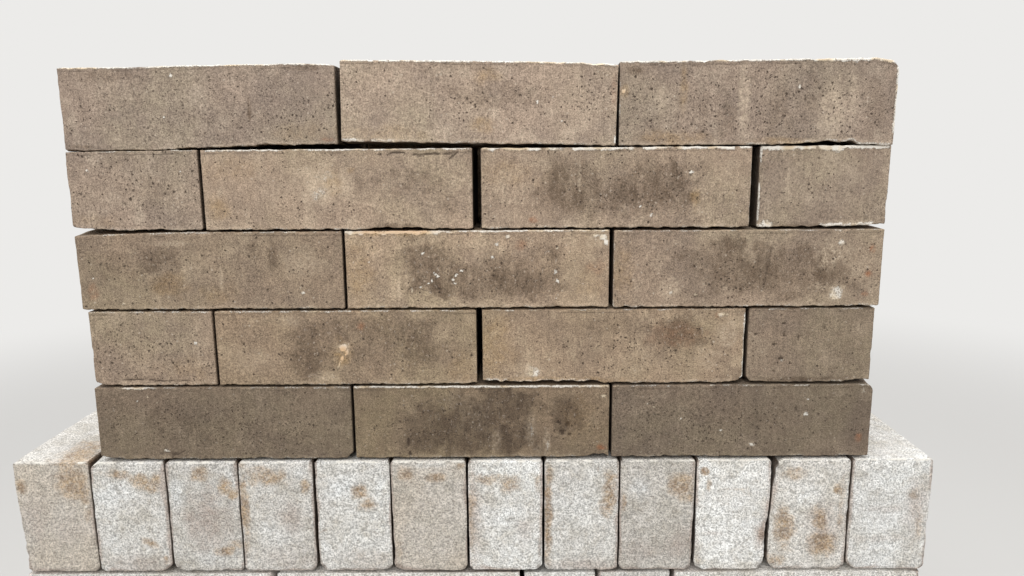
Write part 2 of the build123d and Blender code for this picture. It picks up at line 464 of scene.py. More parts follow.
class Nodes:
    """A node tree. A value in it is a number, a colour of three numbers, or another node's output."""

    def __init__(self, tree):
        self.tree = tree

    def node(self, kind, inputs=(), **settings):
        """A new node. inputs gives values in order, or by name in a dictionary."""
        made = self.tree.nodes.new("ShaderNode" + kind)
        for name, value in settings.items():
            setattr(made, name, value)
        self.fill(made, inputs)
        return made

    def fill(self, node, inputs):
        for key, value in inputs.items() if isinstance(inputs, dict) else enumerate(inputs):
            self.put(node.inputs[key], value)

    def put(self, socket, value):
        if isinstance(value, bpy.types.NodeSocket):
            self.tree.links.new(value, socket)
        elif isinstance(value, tuple) and socket.type == "RGBA":
            socket.default_value = (*value, 1.0)
        else:
            socket.default_value = value

    def math(self, operation, a, b=0.0, clamp=False):
        return self.node("Math", (a, b), operation=operation, use_clamp=clamp).outputs[0]

    def seen_rays(self):
        """1 for rays that show what they hit: from the camera, by reflection and through clear things."""
        path = self.node("LightPath").outputs
        rays = self.math("ADD", path["Is Camera Ray"], path["Is Glossy Ray"], True)
        return self.math("ADD", rays, path["Is Transmission Ray"], True)

    def show(self, share, first, second, output):
        """Gives an output a mix of two shaders."""
        mixed = self.node("MixShader", (share, first.outputs[0], second.outputs[0]))
        self.put(self.tree.nodes[output].inputs["Surface"], mixed.outputs[0])


class Shader(Nodes):
    def __init__(self, name):
        self.material = bpy.data.materials.new(name)
        self.material.use_nodes = True
        super().__init__(self.material.node_tree)
        self.surface = self.tree.nodes["Principled BSDF"]
        self.place = self.node("TexCoord").outputs["Object"]

    def plus(self, first, *others):
        for other in others:
            first = self.math("ADD", first, other)
        return first

    def times(self, first, *others, clamp=False):
        """Multiplies from the left. clamp holds the last product between 0 and 1."""
        for left, other in zip(range(len(others) - 1, -1, -1), others):
            first = self.math("MULTIPLY", first, other, clamp and left == 0)
        return first

    def stretch(self, factors, vector=None):
        return self.node("VectorMath", (vector or self.place, factors), operation="MULTIPLY").outputs[0]

    def texture(self, kind, size, vector, **inputs):
        """A texture of this size in millimetres, or in the units of a vector that is given."""
        scale = (1.0 if vector else 1000.0) / size
        return self.node(kind, {"Vector": vector or self.place, "Scale": scale, **inputs}).outputs

    def noise(self, size, detail, rough, vector=None):
        return self.texture("TexNoise", size, vector, Detail=detail, Roughness=rough)["Fac"]

    def cells(self, size, vector=None):
        """Cells: the distance to a cell's middle, and two numbers drawn for each cell."""
        made = self.texture("TexVoronoi", size, vector)
        first, second, _ = self.node("SeparateColor", (made["Color"],)).outputs
        return made["Distance"], first, second

    def ramp(self, value, start, end, low=0.0, high=1.0):
        inputs = (value, start, end, low, high)
        return self.node("MapRange", inputs, interpolation_type="SMOOTHSTEP").outputs["Result"]

    def sway(self, size, detail, rough, amount):
        """Noise about 0."""
        return self.times(self.math("SUBTRACT", self.noise(size, detail, rough), 0.5), amount)

    def attribute(self, name, output="Fac"):
        return self.node("Attribute", attribute_type="GEOMETRY", attribute_name=name).outputs[output]

    def patches(self, name, sway, start, end, sure):
        """Patches with frayed edges where an attribute says so, and none outside it."""
        spread = self.ramp(self.plus(self.attribute(name), sway), start, end)
        return self.times(spread, self.ramp(self.attribute(name), *sure))

    def mix(self, share, a, b, blend="MIX"):
        return self.node("Mix", {0: share, 6: a, 7: b}, data_type="RGBA", blend_type=blend).outputs[2]

    def scale(self, colour, value):
        """A colour made darker or lighter."""
        grey = self.node("CombineColor", (value, value, value))
        return self.mix(1.0, colour, grey.outputs[0], "MULTIPLY")

    def clouded(self, colour, noise, start, end, share, paint):
        """Paints clouds of noise over a colour."""
        return self.mix(self.ramp(noise, start, end, 0.0, share), colour, paint)

    def stained(self, colour, name, noise, end, least, share, paint):
        """Paints where an attribute says so, unevenly."""
        uneven = self.ramp(self.noise(*noise), 0.3, end, least, 1.0)
        return self.mix(self.times(self.attribute(name), uneven, share), colour, paint)

    def relief(self, first, *others):
        """Adds up heights, each a value and its share. A negative share is taken off."""
        height = self.times(*first)
        for value, share in others:
            height = self.math("ADD" if share > 0 else "SUBTRACT", height, self.times(value, abs(share)))
        return height

    def finish(self, colour, rough, height, distance, strength, specular=0.3):
        bump = self.node("Bump", {"Strength": strength, "Distance": distance, "Height": height})
        self.fill(self.surface, {
            "Base Color": colour, "Roughness": rough, "Normal": bump.outputs[0],
            "Specular IOR Level": specular})
        return self.material


def bent_place(s):
    """The place, moved a little by noise, so that cells there are neither round nor alike."""
    wobble = s.node("TexNoise", {"Vector": s.place, "Scale": 700.0}).outputs["Color"]
    reach = (0.0022, 0.0022, 0.0022)
    return s.node("VectorMath", (wobble, reach, s.place), operation="MULTIPLY_ADD").outputs[0]


def clay_holes(s, bent):
    """Pits in the dark clay, larger ones sparse and small ones common, more where an attribute says."""
    where = s.times(s.attribute("pits"), s.ramp(s.noise(16, 2, 0.5), 0.36, 0.60, 0.35, 1.35))

    def holes(size, rim, favour, rare, depths):
        far, pick, third = s.cells(size, bent)
        chosen = s.ramp(s.plus(pick, s.times(where, favour)), *rare)
        return s.times(s.ramp(far, *rim), chosen, s.ramp(third, 0.0, 1.0, *depths), clamp=depths[1] > 1)

    large = holes(0.0032, (0.34, 0.18), 0.20, (0.965, 0.985), (0.55, 1.1))
    small = holes(0.0019, (0.44, 0.16), 0.30, (0.86, 0.96), (0.15, 1.0))
    return s.math("MAXIMUM", large, small)


def dark_clay():
    s = Shader("dark_clay")
    grain = s.noise(0.95, 3, 0.7)
    coarse = s.noise(3.2, 3, 0.6)
    drag = s.noise(1.0, 3, 0.6, s.stretch((380.0, 380.0, 30.0)))
    fine_drag = s.noise(1.0, 2, 0.5, s.stretch((900.0, 900.0, 90.0)))
    _, speckle, _ = s.cells(1.25)

    def lit(least):
        """Holds a pale colour back on bricks of a dark tone."""
        return s.ramp(s.attribute("tone"), 0.5, 1.0, least, 1.0)

    colour = s.mix(s.ramp(s.noise(85, 2, 0.5), 0.35, 0.65), rgb(165, 145, 127), rgb(162, 146, 125))
    colour = s.clouded(colour, s.noise(38, 3, 0.55), 0.40, 0.70, 0.8, rgb(144, 127, 113))
    colour = s.clouded(colour, s.noise(9, 4, 0.65), 0.42, 0.70, 0.55, rgb(142, 124, 108))
    colour = s.clouded(colour, s.noise(17, 4, 0.6), 0.48, 0.75, 0.75, rgb(180, 162, 142))
    warmth = s.mix(s.attribute("warm"), (0.98, 1.01, 1.08), (1.07, 1.03, 0.91))
    colour = s.mix(1.0, colour, warmth, "MULTIPLY")
    tone = s.times(
        s.ramp(grain, 0.33, 0.65, 0.63, 1.28),
        s.ramp(coarse, 0.3, 0.7, 0.93, 1.07),
        s.ramp(speckle, 0.0, 1.0, 0.88, 1.12),
        s.ramp(drag, 0.25, 0.75, 0.94, 1.06),
        s.ramp(fine_drag, 0.25, 0.75, 0.94, 1.06))
    colour = s.scale(colour, s.times(tone, s.attribute("tone")))

    # Soot with pale flecks in it, and painted shade in the joints; scars, and painted shade in round
    # corners, under chips and below top edges; pale bloom, ochre and rust
    streak = s.noise(1.0, 4, 0.65, s.stretch((120.0, 120.0, 42.0)))
    soot_and_shade = s.patches("dark", s.sway(7, 5, 0.75, 1.1), -0.1, 0.95, (0.0, 0.3))
    soot_and_shade = s.times(soot_and_shade, s.ramp(streak, 0.34, 0.64, 0.60, 1.1), 0.92, clamp=True)
    colour = s.mix(soot_and_shade, colour, s.scale(rgb(106, 89, 73), s.times(tone, lit(0.58))))
    fleck = s.noise(1.0, 3, 0.7, s.stretch((480.0, 480.0, 300.0)))
    fleck = s.times(s.ramp(fleck, 0.60, 0.70), s.ramp(s.attribute("dark"), 0.15, 0.5, 0.0, 0.65))
    colour = s.mix(fleck, colour, s.scale(rgb(192, 177, 162), lit(0.55)))
    scars_and_shade = s.patches("black", s.sway(1.6, 3, 0.7, 0.6), 0.1, 0.8, (0.0, 0.2))
    colour = s.mix(s.times(scars_and_shade, 0.8), colour, rgb(66, 54, 45))
    haze = s.times(
        s.attribute("light"),
        s.ramp(s.noise(4, 4, 0.7), 0.35, 0.65, 0.2, 1.0),
        s.ramp(s.noise(1.5, 3, 0.7), 0.40, 0.60, 0.3, 1.15), 0.85, clamp=True)
    colour = s.mix(haze, colour, s.scale(rgb(224, 204, 178), lit(0.55)))
    colour = s.stained(colour, "ochre", (6, 4, 0.65), 0.65, 0.3, 0.7, s.scale(rgb(158, 128, 84), tone))
    colour = s.stained(colour, "rust", (5, 4, 0.65), 0.6, 0.2, 0.8, s.scale(rgb(150, 98, 66), tone))

    # Pits, a few white grains, and pale crumbs with a painted highlight along top edges
    bent = bent_place(s)
    holes = clay_holes(s, bent)
    colour = s.mix(s.times(holes, 0.86), colour, rgb(66, 54, 44))
    far, pick, _ = s.cells(0.0034, bent)
    grains = s.times(s.ramp(far, 0.30, 0.10), s.ramp(pick, 0.90, 0.95), 0.5)
    colour = s.mix(grains, colour, s.scale(rgb(214, 200, 182), lit(0.55)))
    crumbs_and_highlight = s.patches("white", s.sway(1.3, 4, 0.75, 1.9), 0.38, 0.80, (0.05, 0.25))
    cream = s.mix(s.ramp(s.noise(14, 2, 0.5), 0.48, 0.66), rgb(247, 241, 230), rgb(228, 209, 180))
    cream = s.mix(s.attribute("ochre"), cream, rgb(230, 190, 144))
    colour = s.mix(s.times(crumbs_and_highlight, 0.9), colour, s.scale(cream, lit(0.78)))

    height = s.relief((grain, 0.6), (drag, 0.3), (coarse, 0.5), (holes, -1.2), (crumbs_and_highlight, 0.6))
    return s.finish(colour, s.ramp(grain, 0.2, 0.8, 0.95, 0.82), height, 0.0007, 0.9)


def pale_clay():
    s = Shader("pale_clay")
    mottle = s.noise(8, 4, 0.65)
    sand = s.noise(1.3, 2, 0.7)
    coarse = s.noise(3.0, 3, 0.6)
    ripple = s.noise(1.0, 3, 0.6, s.stretch((70.0, 90.0, 330.0)))
    _, speckle, _ = s.cells(1.3)
    colour = s.mix(s.attribute("light"), rgb(231, 231, 228), rgb(205, 191, 173))
    colour = s.clouded(colour, s.noise(60, 2, 0.5), 0.35, 0.65, 0.5, rgb(215, 211, 206))
    colour = s.clouded(colour, s.noise(26, 3, 0.55), 0.42, 0.72, 0.7, rgb(193, 187, 176))
    colour = s.clouded(colour, mottle, 0.45, 0.75, 0.5, rgb(184, 175, 160))
    colour = s.stained(colour, "bloom", (6, 4, 0.65), 0.6, 0.4, 0.8, rgb(238, 240, 240))
    colour = s.stained(colour, "mauve", (6, 4, 0.65), 0.6, 0.5, 0.8, rgb(184, 169, 159))

    # Sand grains about their mean, a little weaker on beige bricks
    mean = 0.95
    grains = s.math("SUBTRACT", s.ramp(sand, 0.39, 0.575, 0.62, 1.21), mean)
    grains = s.times(grains, s.ramp(s.attribute("light"), 0.0, 0.8, 1.0, 0.88))
    tone = s.times(
        s.plus(grains, mean),
        s.ramp(coarse, 0.3, 0.7, 0.88, 1.10),
        s.ramp(speckle, 0.0, 1.0, 0.88, 1.11),
        s.ramp(ripple, 0.3, 0.7, 0.94, 1.05))
    colour = s.scale(colour, s.times(tone, s.attribute("tone")))

    stir = s.sway(7, 5, 0.75, 1.2)
    tan = s.patches("ochre", s.times(stir, 1.1), -0.05, 1.0, (0.0, 0.45))
    tan = s.times(tan, s.ramp(s.noise(3.2, 4, 0.7), 0.34, 0.60, 0.55, 1.05), 0.95, clamp=True)
    paint = s.mix(s.ramp(s.noise(9, 3, 0.6), 0.38, 0.62), rgb(186, 163, 135), rgb(158, 136, 113))
    colour = s.mix(tan, colour, s.scale(paint, tone))
    # Scars, and painted shade in round corners
    scars_and_shade = s.patches("black", s.sway(1.6, 3, 0.7, 0.6), 0.1, 0.8, (0.0, 0.2))
    colour = s.mix(s.times(scars_and_shade, 0.8), colour, rgb(84, 70, 58))
    # Brown patches, and painted shade in the joints between bricks
    brown = s.patches("dark", stir, 0.0, 1.0, (0.0, 0.3))
    colour = s.mix(s.times(brown, 0.8), colour, s.scale(rgb(124, 98, 76), tone))
    far, pick, _ = s.cells(2.2)
    specks = s.times(s.ramp(far, 0.42, 0.18), s.ramp(pick, 0.84, 0.92))
    colour = s.mix(s.times(specks, 0.4), colour, rgb(132, 118, 106))
    # Pale crumbs, and a painted highlight along the top edge
    crumbs_and_highlight = s.patches("white", s.sway(1.8, 3, 0.6, 1.1), 0.25, 0.70, (0.0, 0.12))
    colour = s.mix(s.times(crumbs_and_highlight, 0.8), colour, rgb(240, 236, 226))
    height = s.relief((sand, 0.9), (coarse, 1.1), (mottle, 1.6), (ripple, 1.3), (specks, -0.5))
    return s.finish(colour, 0.92, height, 0.0007, 0.8, 0.25)


def sawn_softwood():
    """Rings about a pith line, knots, weathering and saw marks, in each board's own grain coordinates."""
    s = Shader("sawn_softwood")
    along = s.attribute("grain", "Vector")

    def drawn(detail, rough, lengthwise, across):
        """Noise drawn out along the grain."""
        return s.noise(1.0, detail, rough, s.stretch((lengthwise, across, across), along))

    # Growth rings, bent, and swirling about the knots
    ring_width = 0.0042
    _, y, z = s.node("SeparateXYZ", (along,)).outputs
    bend = s.times(s.math("SUBTRACT", drawn(3, 0.5, 2.2, 9.0), 0.5), 0.030)
    far, pick, _ = s.cells(1.0, s.stretch((3.4, 9.0, 9.0), along))
    knotty = s.ramp(pick, 0.55, 0.60)
    swirl = s.times(s.ramp(far, 0.34, 0.0), s.times(knotty, 0.018))
    radius = s.plus(s.math("SQRT", s.plus(s.times(y, y), s.times(z, z))), bend, swirl)
    turn = s.math("FRACT", s.math("DIVIDE", radius, ring_width))
    late = s.times(s.ramp(turn, 0.30, 0.88), s.ramp(turn, 1.0, 0.90))

    fibre = drawn(3, 0.6, 30.0, 900.0)
    colour = s.mix(late, rgb(206, 182, 148), rgb(168, 132, 94))
    colour = s.clouded(colour, drawn(3, 0.6, 5.0, 26.0), 0.35, 0.75, 0.75, rgb(166, 152, 134))
    colour = s.clouded(colour, s.noise(14, 4, 0.6), 0.50, 0.80, 0.5, rgb(120, 103, 84))
    colour = s.mix(s.times(s.ramp(far, 0.105, 0.075), knotty, 0.85), colour, rgb(104, 70, 45))
    colour = s.mix(s.times(s.ramp(far, 0.15, 0.10), knotty, 0.35), colour, rgb(96, 66, 44))
    colour = s.scale(colour, s.times(s.ramp(fibre, 0.25, 0.75, 0.82, 1.12), s.attribute("tone")))
    colour = s.mix(s.times(s.attribute("dark"), 0.75), colour, rgb(92, 78, 62))
    crack = s.ramp(drawn(2, 0.5, 5.0, 330.0), 0.73, 0.78)
    colour = s.mix(s.times(crack, 0.6), colour, rgb(70, 55, 42))
    height = s.relief((fibre, 0.5), (drawn(2, 0.5, 260.0, 14.0), 0.5), (late, 0.25), (crack, -1.5))
    return s.finish(colour, s.ramp(fibre, 0.2, 0.8, 0.88, 0.70), height, 0.0006, 0.8)


def nail_steel():
    s = Shader("nail_steel")
    spots = s.ramp(s.noise(2.5, 4, 0.6), 0.42, 0.62)
    s.surface.inputs["Metallic"].default_value = 0.85
    colour = s.mix(spots, rgb(128, 126, 122), rgb(98, 66, 45))
    return s.finish(colour, s.ramp(spots, 0.0, 1.0, 0.45, 0.85), spots, 0.0002, 0.6, 0.5)


# Dark bricks
BRICK_HEIGHT = 65.0
FRONT_STEP = 1.5
BACK_STEP = 3.8
# Places of the first grid lines from an edge, and a step so long that no line lies between them
NEAR_FINE = [0, 0.5, 1.1, 1.9, 2.9, 4.1]
NEAR_DEEP = [0, 0.5, 1.1, 2.0, 3.4, 5.5]
NEAR_PLAIN = [0, 1.0, 2.4, 4.6]
NO_STEP = 200
# How much painted shade darkens the ends of a brick in a joint
DARK_JOINTS, PALE_JOINTS = 0.55, 0.7
# Tone of the second wythe in each course
BACK_TONES = {"1": 0.72, "2": 0.95, "3": 0.97, "4": 1.02, "5": 1.02}
# Degrees that a brick leans, standing on its lower right edge, and how high its right end reaches
TIP = {"5_2": 1.3}
TIPPED_TOP = 878.92
# Millimetres that a course stands further forward than its solids
FORWARD = {"1": 1.5}
# Millimetres that a brick reaches further left and further right than its solid
REACH = {
    "5_1": (2.4, -0.4), "5_2": (2.2, 0.0), "5_3": (0.0, 1.4), "4_1": (2.7, 0.2), "4_2": (0.0, 1.0),
    "4_3": (-0.3, 0.9), "4_4": (-1.0, 2.0), "3_1": (1.7, 0.0), "3_3": (0.0, 3.0), "2_1": (1.3, -1.3),
    "2_2": (1.3, -0.3), "2_3": (0.3, 2.0), "2_4": (-2.0, 2.6), "1_1": (0.4, 0.0), "1_3": (0.0, 3.0),
}

# Each front brick, named by its course and place: tone, warmth, marks, and what brick() says of edges
LOOKS = {}


def look(name, tone, warm, marks, **edges):
    LOOKS[name] = dict(tone=tone, warm=warm, marks=marks, **edges)


look("5_1", 0.99, 0.16, [
    white(86, 58, 2.4, 2.2), dark(146, 32, 1.8, 11, 0.7), dark(30, 58, 34, 6, 0.3), pits(107, 32, 150, 27),
    rust(208, 6, 6, 5, 0.6), ochre(190, 12, 26, 10, 0.25), white(27, 45, 1.1, 1.1), white(166, 35, 1, 1),
    white(78, 26, 1, 1), dark(10, 3, 12, 2, 0.5), dark(190, 62, 18, 2.2, 0.4)],
    lift=[(0, -0.6), (70, -0.3), (100, 1), (148, 2.8), (157, 3.4), (160, 4.6), (164, 3.4), (215, 3.6)],
    drop=[(0, 0.3), (60, 0), (110, -1.2), (190, -1.8), (212, -1.2), (215, -0.4)],
    lips=[("top", 0, 215, 2.1), ("bottom", 60, 215, 1.2)])
look("5_2", 1.19, 0.28, [
    ochre(113, 54, 11, 7, 0.6), ochre(109, 16, 8, 7, 0.65), dark(120, 40, 56, 12, 0.3),
    dark(80, 59, 60, 4, 0.2), white(152, 35, 1.6, 1.5), white(164, 39, 1.3, 1.3), white(172, 20, 1.4, 1),
    chip(81, 65, 3, 1.5, 0.8), rust(212, 44, 3, 16, 0.3), light(186, 54, 5, 5, 0.3),
    pits(107, 38, 130, 22, 0.9), ochre(40, 8, 34, 8, 0.35)],
    lift=[(0, 0.6), (215, 1.2)],
    drop=[(0, 0.5), (100, -0.3), (190, -0.6), (197, 0.2), (206, -0.2), (215, 0.6)],
    lips=[("top", 0, 215, 2.2), ("top", 198, 215, 3), ("bottom", 0, 47, 2.7), ("bottom", 47, 215, 1.7),
    ("right", 2, 18, 3)])
look("5_3", 0.96, 0.20, [
    ochre(50, 42, 3.5, 20, 0.55), ochre(40, 6, 28, 8, 0.6), ochre(130, 3, 28, 4, 0.5),
    ochre(3, 44, 5, 5, 0.5), white(3, 44, 2.2, 2.6), black(6, 42, 1.6, 2, 0.6), white(43, 40, 1.5, 1.5),
    black(44, 37.5, 1.6, 1.2, 0.6), white(140, 46, 1.6, 2), light(98, 38, 5, 26, 0.8),
    light(32, 38, 7, 10, 0.55), light(166, 30, 12, 22, 0.75), light(182, 36, 6, 18, 0.6),
    dark(84, 24, 9, 22, 0.35), dark(66, 30, 8, 22, 0.25), dark(124, 26, 14, 24, 0.3),
    dark(150, 40, 9, 22, 0.25), dark(200, 32, 12, 28, 0.25), dark(12, 59, 8, 3, 0.6),
    pits(120, 30, 140, 24, 0.9)],
    lift=[(0, 0.9), (140, 1.2), (149, 2.6), (166, 3.4), (184, 3), (190, 0.9), (215, -0.4)],
    drop=[(0, -1.6), (100, -2.4), (200, -3), (215, -1)], lips=[("top", 0, 215, 2.2),
    ("top", 150, 215, 3.2), ("right", 10, 62, 2.6), ("left", 6, 60, 1.2), ("bottom", 0, 100, 1.4),
    ("bottom", 100, 215, 2)], corners=[("right", "top", 7.5)])
look("4_1", 0.99, 0.25, [
    white(88, 49, 1.4, 1.4), white(14, 50, 1.4, 1.4), pits(51, 34, 70, 28, 0.55), dark(60, 30, 30, 14, 0.2),
    ochre(20, 8, 24, 8, 0.25)],
    lift=[(0, 3), (20, 1.6), (42, 0.8), (102, 0.9)], drop=[(0, 0), (40, -0.5), (102, -1.2)],
    lips=[("top", 0, 102, 1.8), ("bottom", 20, 102, 1.4)], corners=[("left", "bottom", 3.5)])
look("4_2", 1.11, 0.50, [
    light(97, 37, 22, 16, 0.95), white(93, 31, 9, 7, 0.5), white(99, 44, 8, 5, 0.45),
    ochre(104, 40, 8, 12, 0.4), light(60, 30, 18, 12, 0.3), ochre(10, 20, 10, 9, 0.6),
    ochre(30, 50, 30, 10, 0.25), dark(160, 40, 40, 14, 0.3), line(170, 61, 34, 1.15),
    line(200, 59, 7, 1.1, 1, -35), ochre(119, 49, 4, 3, 0.5), dark(153, 2, 20, 2.5, 0.6),
    dark(196, 20, 14, 16, 0.25), pits(107, 20, 107, 14, 0.3)],
    lift=[(0, 0.7), (130, 0.8), (140, 2.2), (172, 2.2), (180, 0.7)], drop=[(0, -1), (215, -1.2)],
    lips=[("top", 0, 215, 2), ("bottom", 0, 130, 1.5)])
look("4_3", 1.045, 0.50, [
    dark(72, 36, 30, 22, 0.62), dark(144, 38, 40, 20, 0.62), light(79, 42, 1.5, 13, 0.6),
    dark(108, 24, 66, 16, 0.4), rust(42, 8, 3.4, 3.4, 0.9), white(168, 46, 2.2, 1.6),
    black(168, 44, 2.4, 1.2, 0.7), white(137, 12, 1.6, 1.4), white(128, 19, 1.2, 1.2),
    ochre(172, 26, 4, 10, 0.7), ochre(24, 46, 24, 12, 0.3), light(20, 12, 16, 8, 0.3),
    pits(107, 36, 80, 18, 0.6)],
    lift=[(0, 0.7), (215, 0.9)], drop=[(0, -1.2), (215, -1.4)],
    lips=[("top", 0, 215, 3.4), ("bottom", 0, 215, 1.6), ("right", 0, 60, 1.2)])
look("4_4", 0.945, 0.35, [
    light(50, 35, 50, 28, 0.25), light(24, 36, 2, 22, 0.6), light(44, 30, 1.6, 26, 0.4),
    light(60, 36, 2, 24, 0.4), light(84, 30, 1.8, 20, 0.5), dark(60, 10, 36, 8, 0.15),
    pits(51, 30, 51, 20, 0.12)],
    lift=[(0, 0.6), (60, 0.6), (102, 2)], drop=[(0, -1.4), (102, -1.4)], lips=[("top", 2, 30, 5.4),
    ("top", 46, 66, 6.5), ("top", 0, 102, 4), ("bottom", 0, 13, 6), ("bottom", 50, 94, 3),
    ("left", 0, 65, 2), ("right", 0, 65, 1.4)])
look("3_1", 0.84, 0.65, [
    white(181, 15, 2, 2), white(33, 6, 1.5, 1.5), white(10, 28, 1.4, 1.4), ochre(71, 22, 18, 11, 0.45),
    dark(71, 24, 15, 9, 0.3), ochre(112, 14, 16, 10, 0.3), dark(158, 46, 6, 14, 0.5),
    dark(144, 50, 7, 9, 0.4), rust(9, 17, 5, 8, 0.4), light(182, 38, 15, 14, 0.45),
    dark(40, 40, 34, 16, 0.3), light(80, 56, 24, 2.6, 0.8), light(115, 25, 1.8, 15, 0.6),
    light(96, 40, 30, 14, 0.15), dark(190, 30, 18, 20, 0.2), dark(66, 44, 18, 13, 0.55),
    pits(107, 40, 107, 14, 0.55)],
    lift=[(0, 0.3), (215, 0.5)], drop=[(0, 1.8), (60, 0), (90, -0.6)],
    lips=[("top", 0, 215, 1.8), ("bottom", 40, 215, 1.6)])
look("3_2", 1.10, 0.70, [
    dark(66, 36, 24, 26, 0.65), dark(96, 24, 40, 16, 0.55), dark(140, 28, 44, 22, 0.58),
    light(42.5, 17, 1.4, 11, 0.9), ochre(38, 64, 42, 3, 0.75), dark(53, 46, 9, 9, 0.5),
    dark(85, 15, 14, 8, 0.5), dark(154, 20, 24, 12, 0.5), dark(168, 48, 9, 10, 0.4),
    rust(143, 54, 5, 5, 0.5), light(112, 42, 8, 14, 0.3), white(73, 30, 2.4, 1.5, 1, 30),
    white(75, 28, 1.3, 1.8, 0.9), white(70, 24.5, 1.5, 2, 0.95), white(67, 22, 1.8, 1.2, 0.8),
    white(94, 32.5, 2, 1.5), white(90, 29, 2.6, 1.4, 1, -25), white(87, 25, 1.5, 2, 0.9),
    white(89, 22, 1.6, 1.2, 0.9), white(120, 43.6, 2, 1.7), white(123.3, 54.4, 1.6, 1.8),
    white(132.5, 60, 2.2, 1.7, 1, -30), white(172, 50.4, 1.8, 1.8), white(182, 47, 1.6, 1.6),
    white(18.7, 40, 1.5, 1.7), white(171, 31, 1.4, 2.6, 0.8), white(172.5, 23.4, 1.6, 1.8),
    white(172, 9, 1.5, 1.5, 0.9), white(54, 16.5, 1.4, 3, 0.8), white(61, 19, 2, 1.2, 0.8),
    white(63, 47, 1.5, 1.5, 0.8), white(92.5, 53.7, 1.3, 1.3, 0.8), white(209, 59.5, 4.5, 2.4, 1, 15),
    white(203, 60.5, 4, 1.5, 0.9), white(212, 55, 2.6, 2.6), light(206, 57, 10, 7, 0.6),
    rust(204, 35, 8, 7, 0.3), ochre(10, 30, 14, 30, 0.5), ochre(200, 20, 14, 18, 0.3),
    pits(107, 24, 80, 16, 0.3)],
    lift=[(0, 0.3), (215, 0.5)], drop=[(0, -0.6), (215, -0.6)],
    lips=[("top", 0, 215, 2.2), ("top", 0, 78, 5), ("bottom", 0, 215, 1.8)])
look("3_3", 0.955, 0.50, [
    ochre(7, 30, 10, 30, 0.4), dark(92, 34, 42, 26, 0.56), dark(150, 30, 52, 26, 0.54), dark(92, 51, 9, 8),
    dark(104, 54, 6, 6, 0.9), dark(116, 51, 6, 7, 0.9), dark(54, 43, 8, 6, 0.7),
    line(125, 33, 23, 2.5, 0.5, -80), dark(156, 46, 7, 8, 0.95), dark(176, 34, 16, 20, 0.5),
    white(183, 11, 7, 7, 0.72), light(183, 11, 9, 8, 0.9), light(174, 44, 13, 13, 0.75),
    white(184, 54, 4, 3, 0.8), light(46, 16, 8, 10, 0.6), light(112, 48, 8, 12, 0.35),
    chip(47, 14, 2, 1.4, 0.9), chip(67, 12, 2, 1.4, 0.9), light(168, 18, 10, 4, 0.5),
    light(190, 44, 9, 8, 0.35), rust(209, 49, 3, 3, 0.8), rust(207, 28, 3.4, 3.4),
    rust(206, 12, 2.6, 2.6, 0.8), pits(107, 30, 107, 22, 0.5)],
    lift=[(0, 0.4), (215, 0.6)], lips=[("top", 0, 215, 1.8), ("bottom", 0, 215, 1.7), ("left", 0, 60, 1.2)])
look("2_1", 0.94, 0.50, [
    chip(86, 38, 1.8, 1.6, 0.9), line(50, 5, 34, 1.3, 0.8), dark(20, 40, 18, 20, 0.2),
    ochre(76, 14, 22, 12, 0.25), pits(51, 32, 70, 28, 0.55)],
    lift=[(0, 1), (20, 0.3), (102, 0.3)], lips=[("top", 0, 102, 1.8), ("bottom", 20, 102, 1.4)],
    corners=[("left", "bottom", 6)])
look("2_2", 0.865, 0.85, [
    dark(73, 26, 19, 24, 0.7), dark(120, 34, 70, 24, 0.3), light(103, 33, 8, 7), ochre(103, 30, 9, 12, 0.9),
    white(104, 33.5, 4.4, 4), white(107, 30, 2, 4, 0.9, 20), white(102.5, 24, 1.7, 4, 0.9, 25),
    white(99.5, 18.5, 1.6, 3, 0.9, 30), dark(166, 31, 18, 22, 0.5), dark(130, 50, 60, 10, 0.3),
    rust(119, 52, 4, 4, 0.6), ochre(200, 16, 14, 14, 0.3), light(30, 24, 24, 12, 0.3),
    light(86, 8, 12, 5, 0.6), light(60, 56, 14, 6, 0.5), pits(107, 34, 107, 22, 0.4)],
    lift=[(0, 0.3), (215, 0.6)], lips=[("top", 0, 215, 1.8), ("bottom", 60, 215, 1.6)])
look("2_3", 0.955, 0.80, [
    ochre(10, 32, 16, 30, 0.45), pit(68, 33, 1.5, 1.5, 0.8), white(42, 11, 6, 7, 0.68),
    light(42, 10, 9, 9, 0.9), dark(162, 44, 26, 16, 0.65), rust(160, 44, 24, 12, 0.25),
    dark(100, 50, 50, 10, 0.25), white(198, 60, 6, 3.6, 0.75), light(204, 44, 10, 12, 0.6),
    light(186, 22, 14, 12, 0.4), rust(194, 60, 2.4, 2.4, 0.8), light(130, 20, 26, 12, 0.2),
    ochre(60, 2, 60, 3, 0.5), pits(130, 32, 100, 22, 0.55)],
    lift=[(0, 2.4), (94, 2.4), (102, 0.4), (206, 0.3), (215, 1.4)],
    lips=[("top", 0, 215, 1.8), ("bottom", 2, 97, 2.3), ("bottom", 110, 208, 1.7), ("right", 0, 62, 2)],
    corners=[("right", "bottom", 7)])
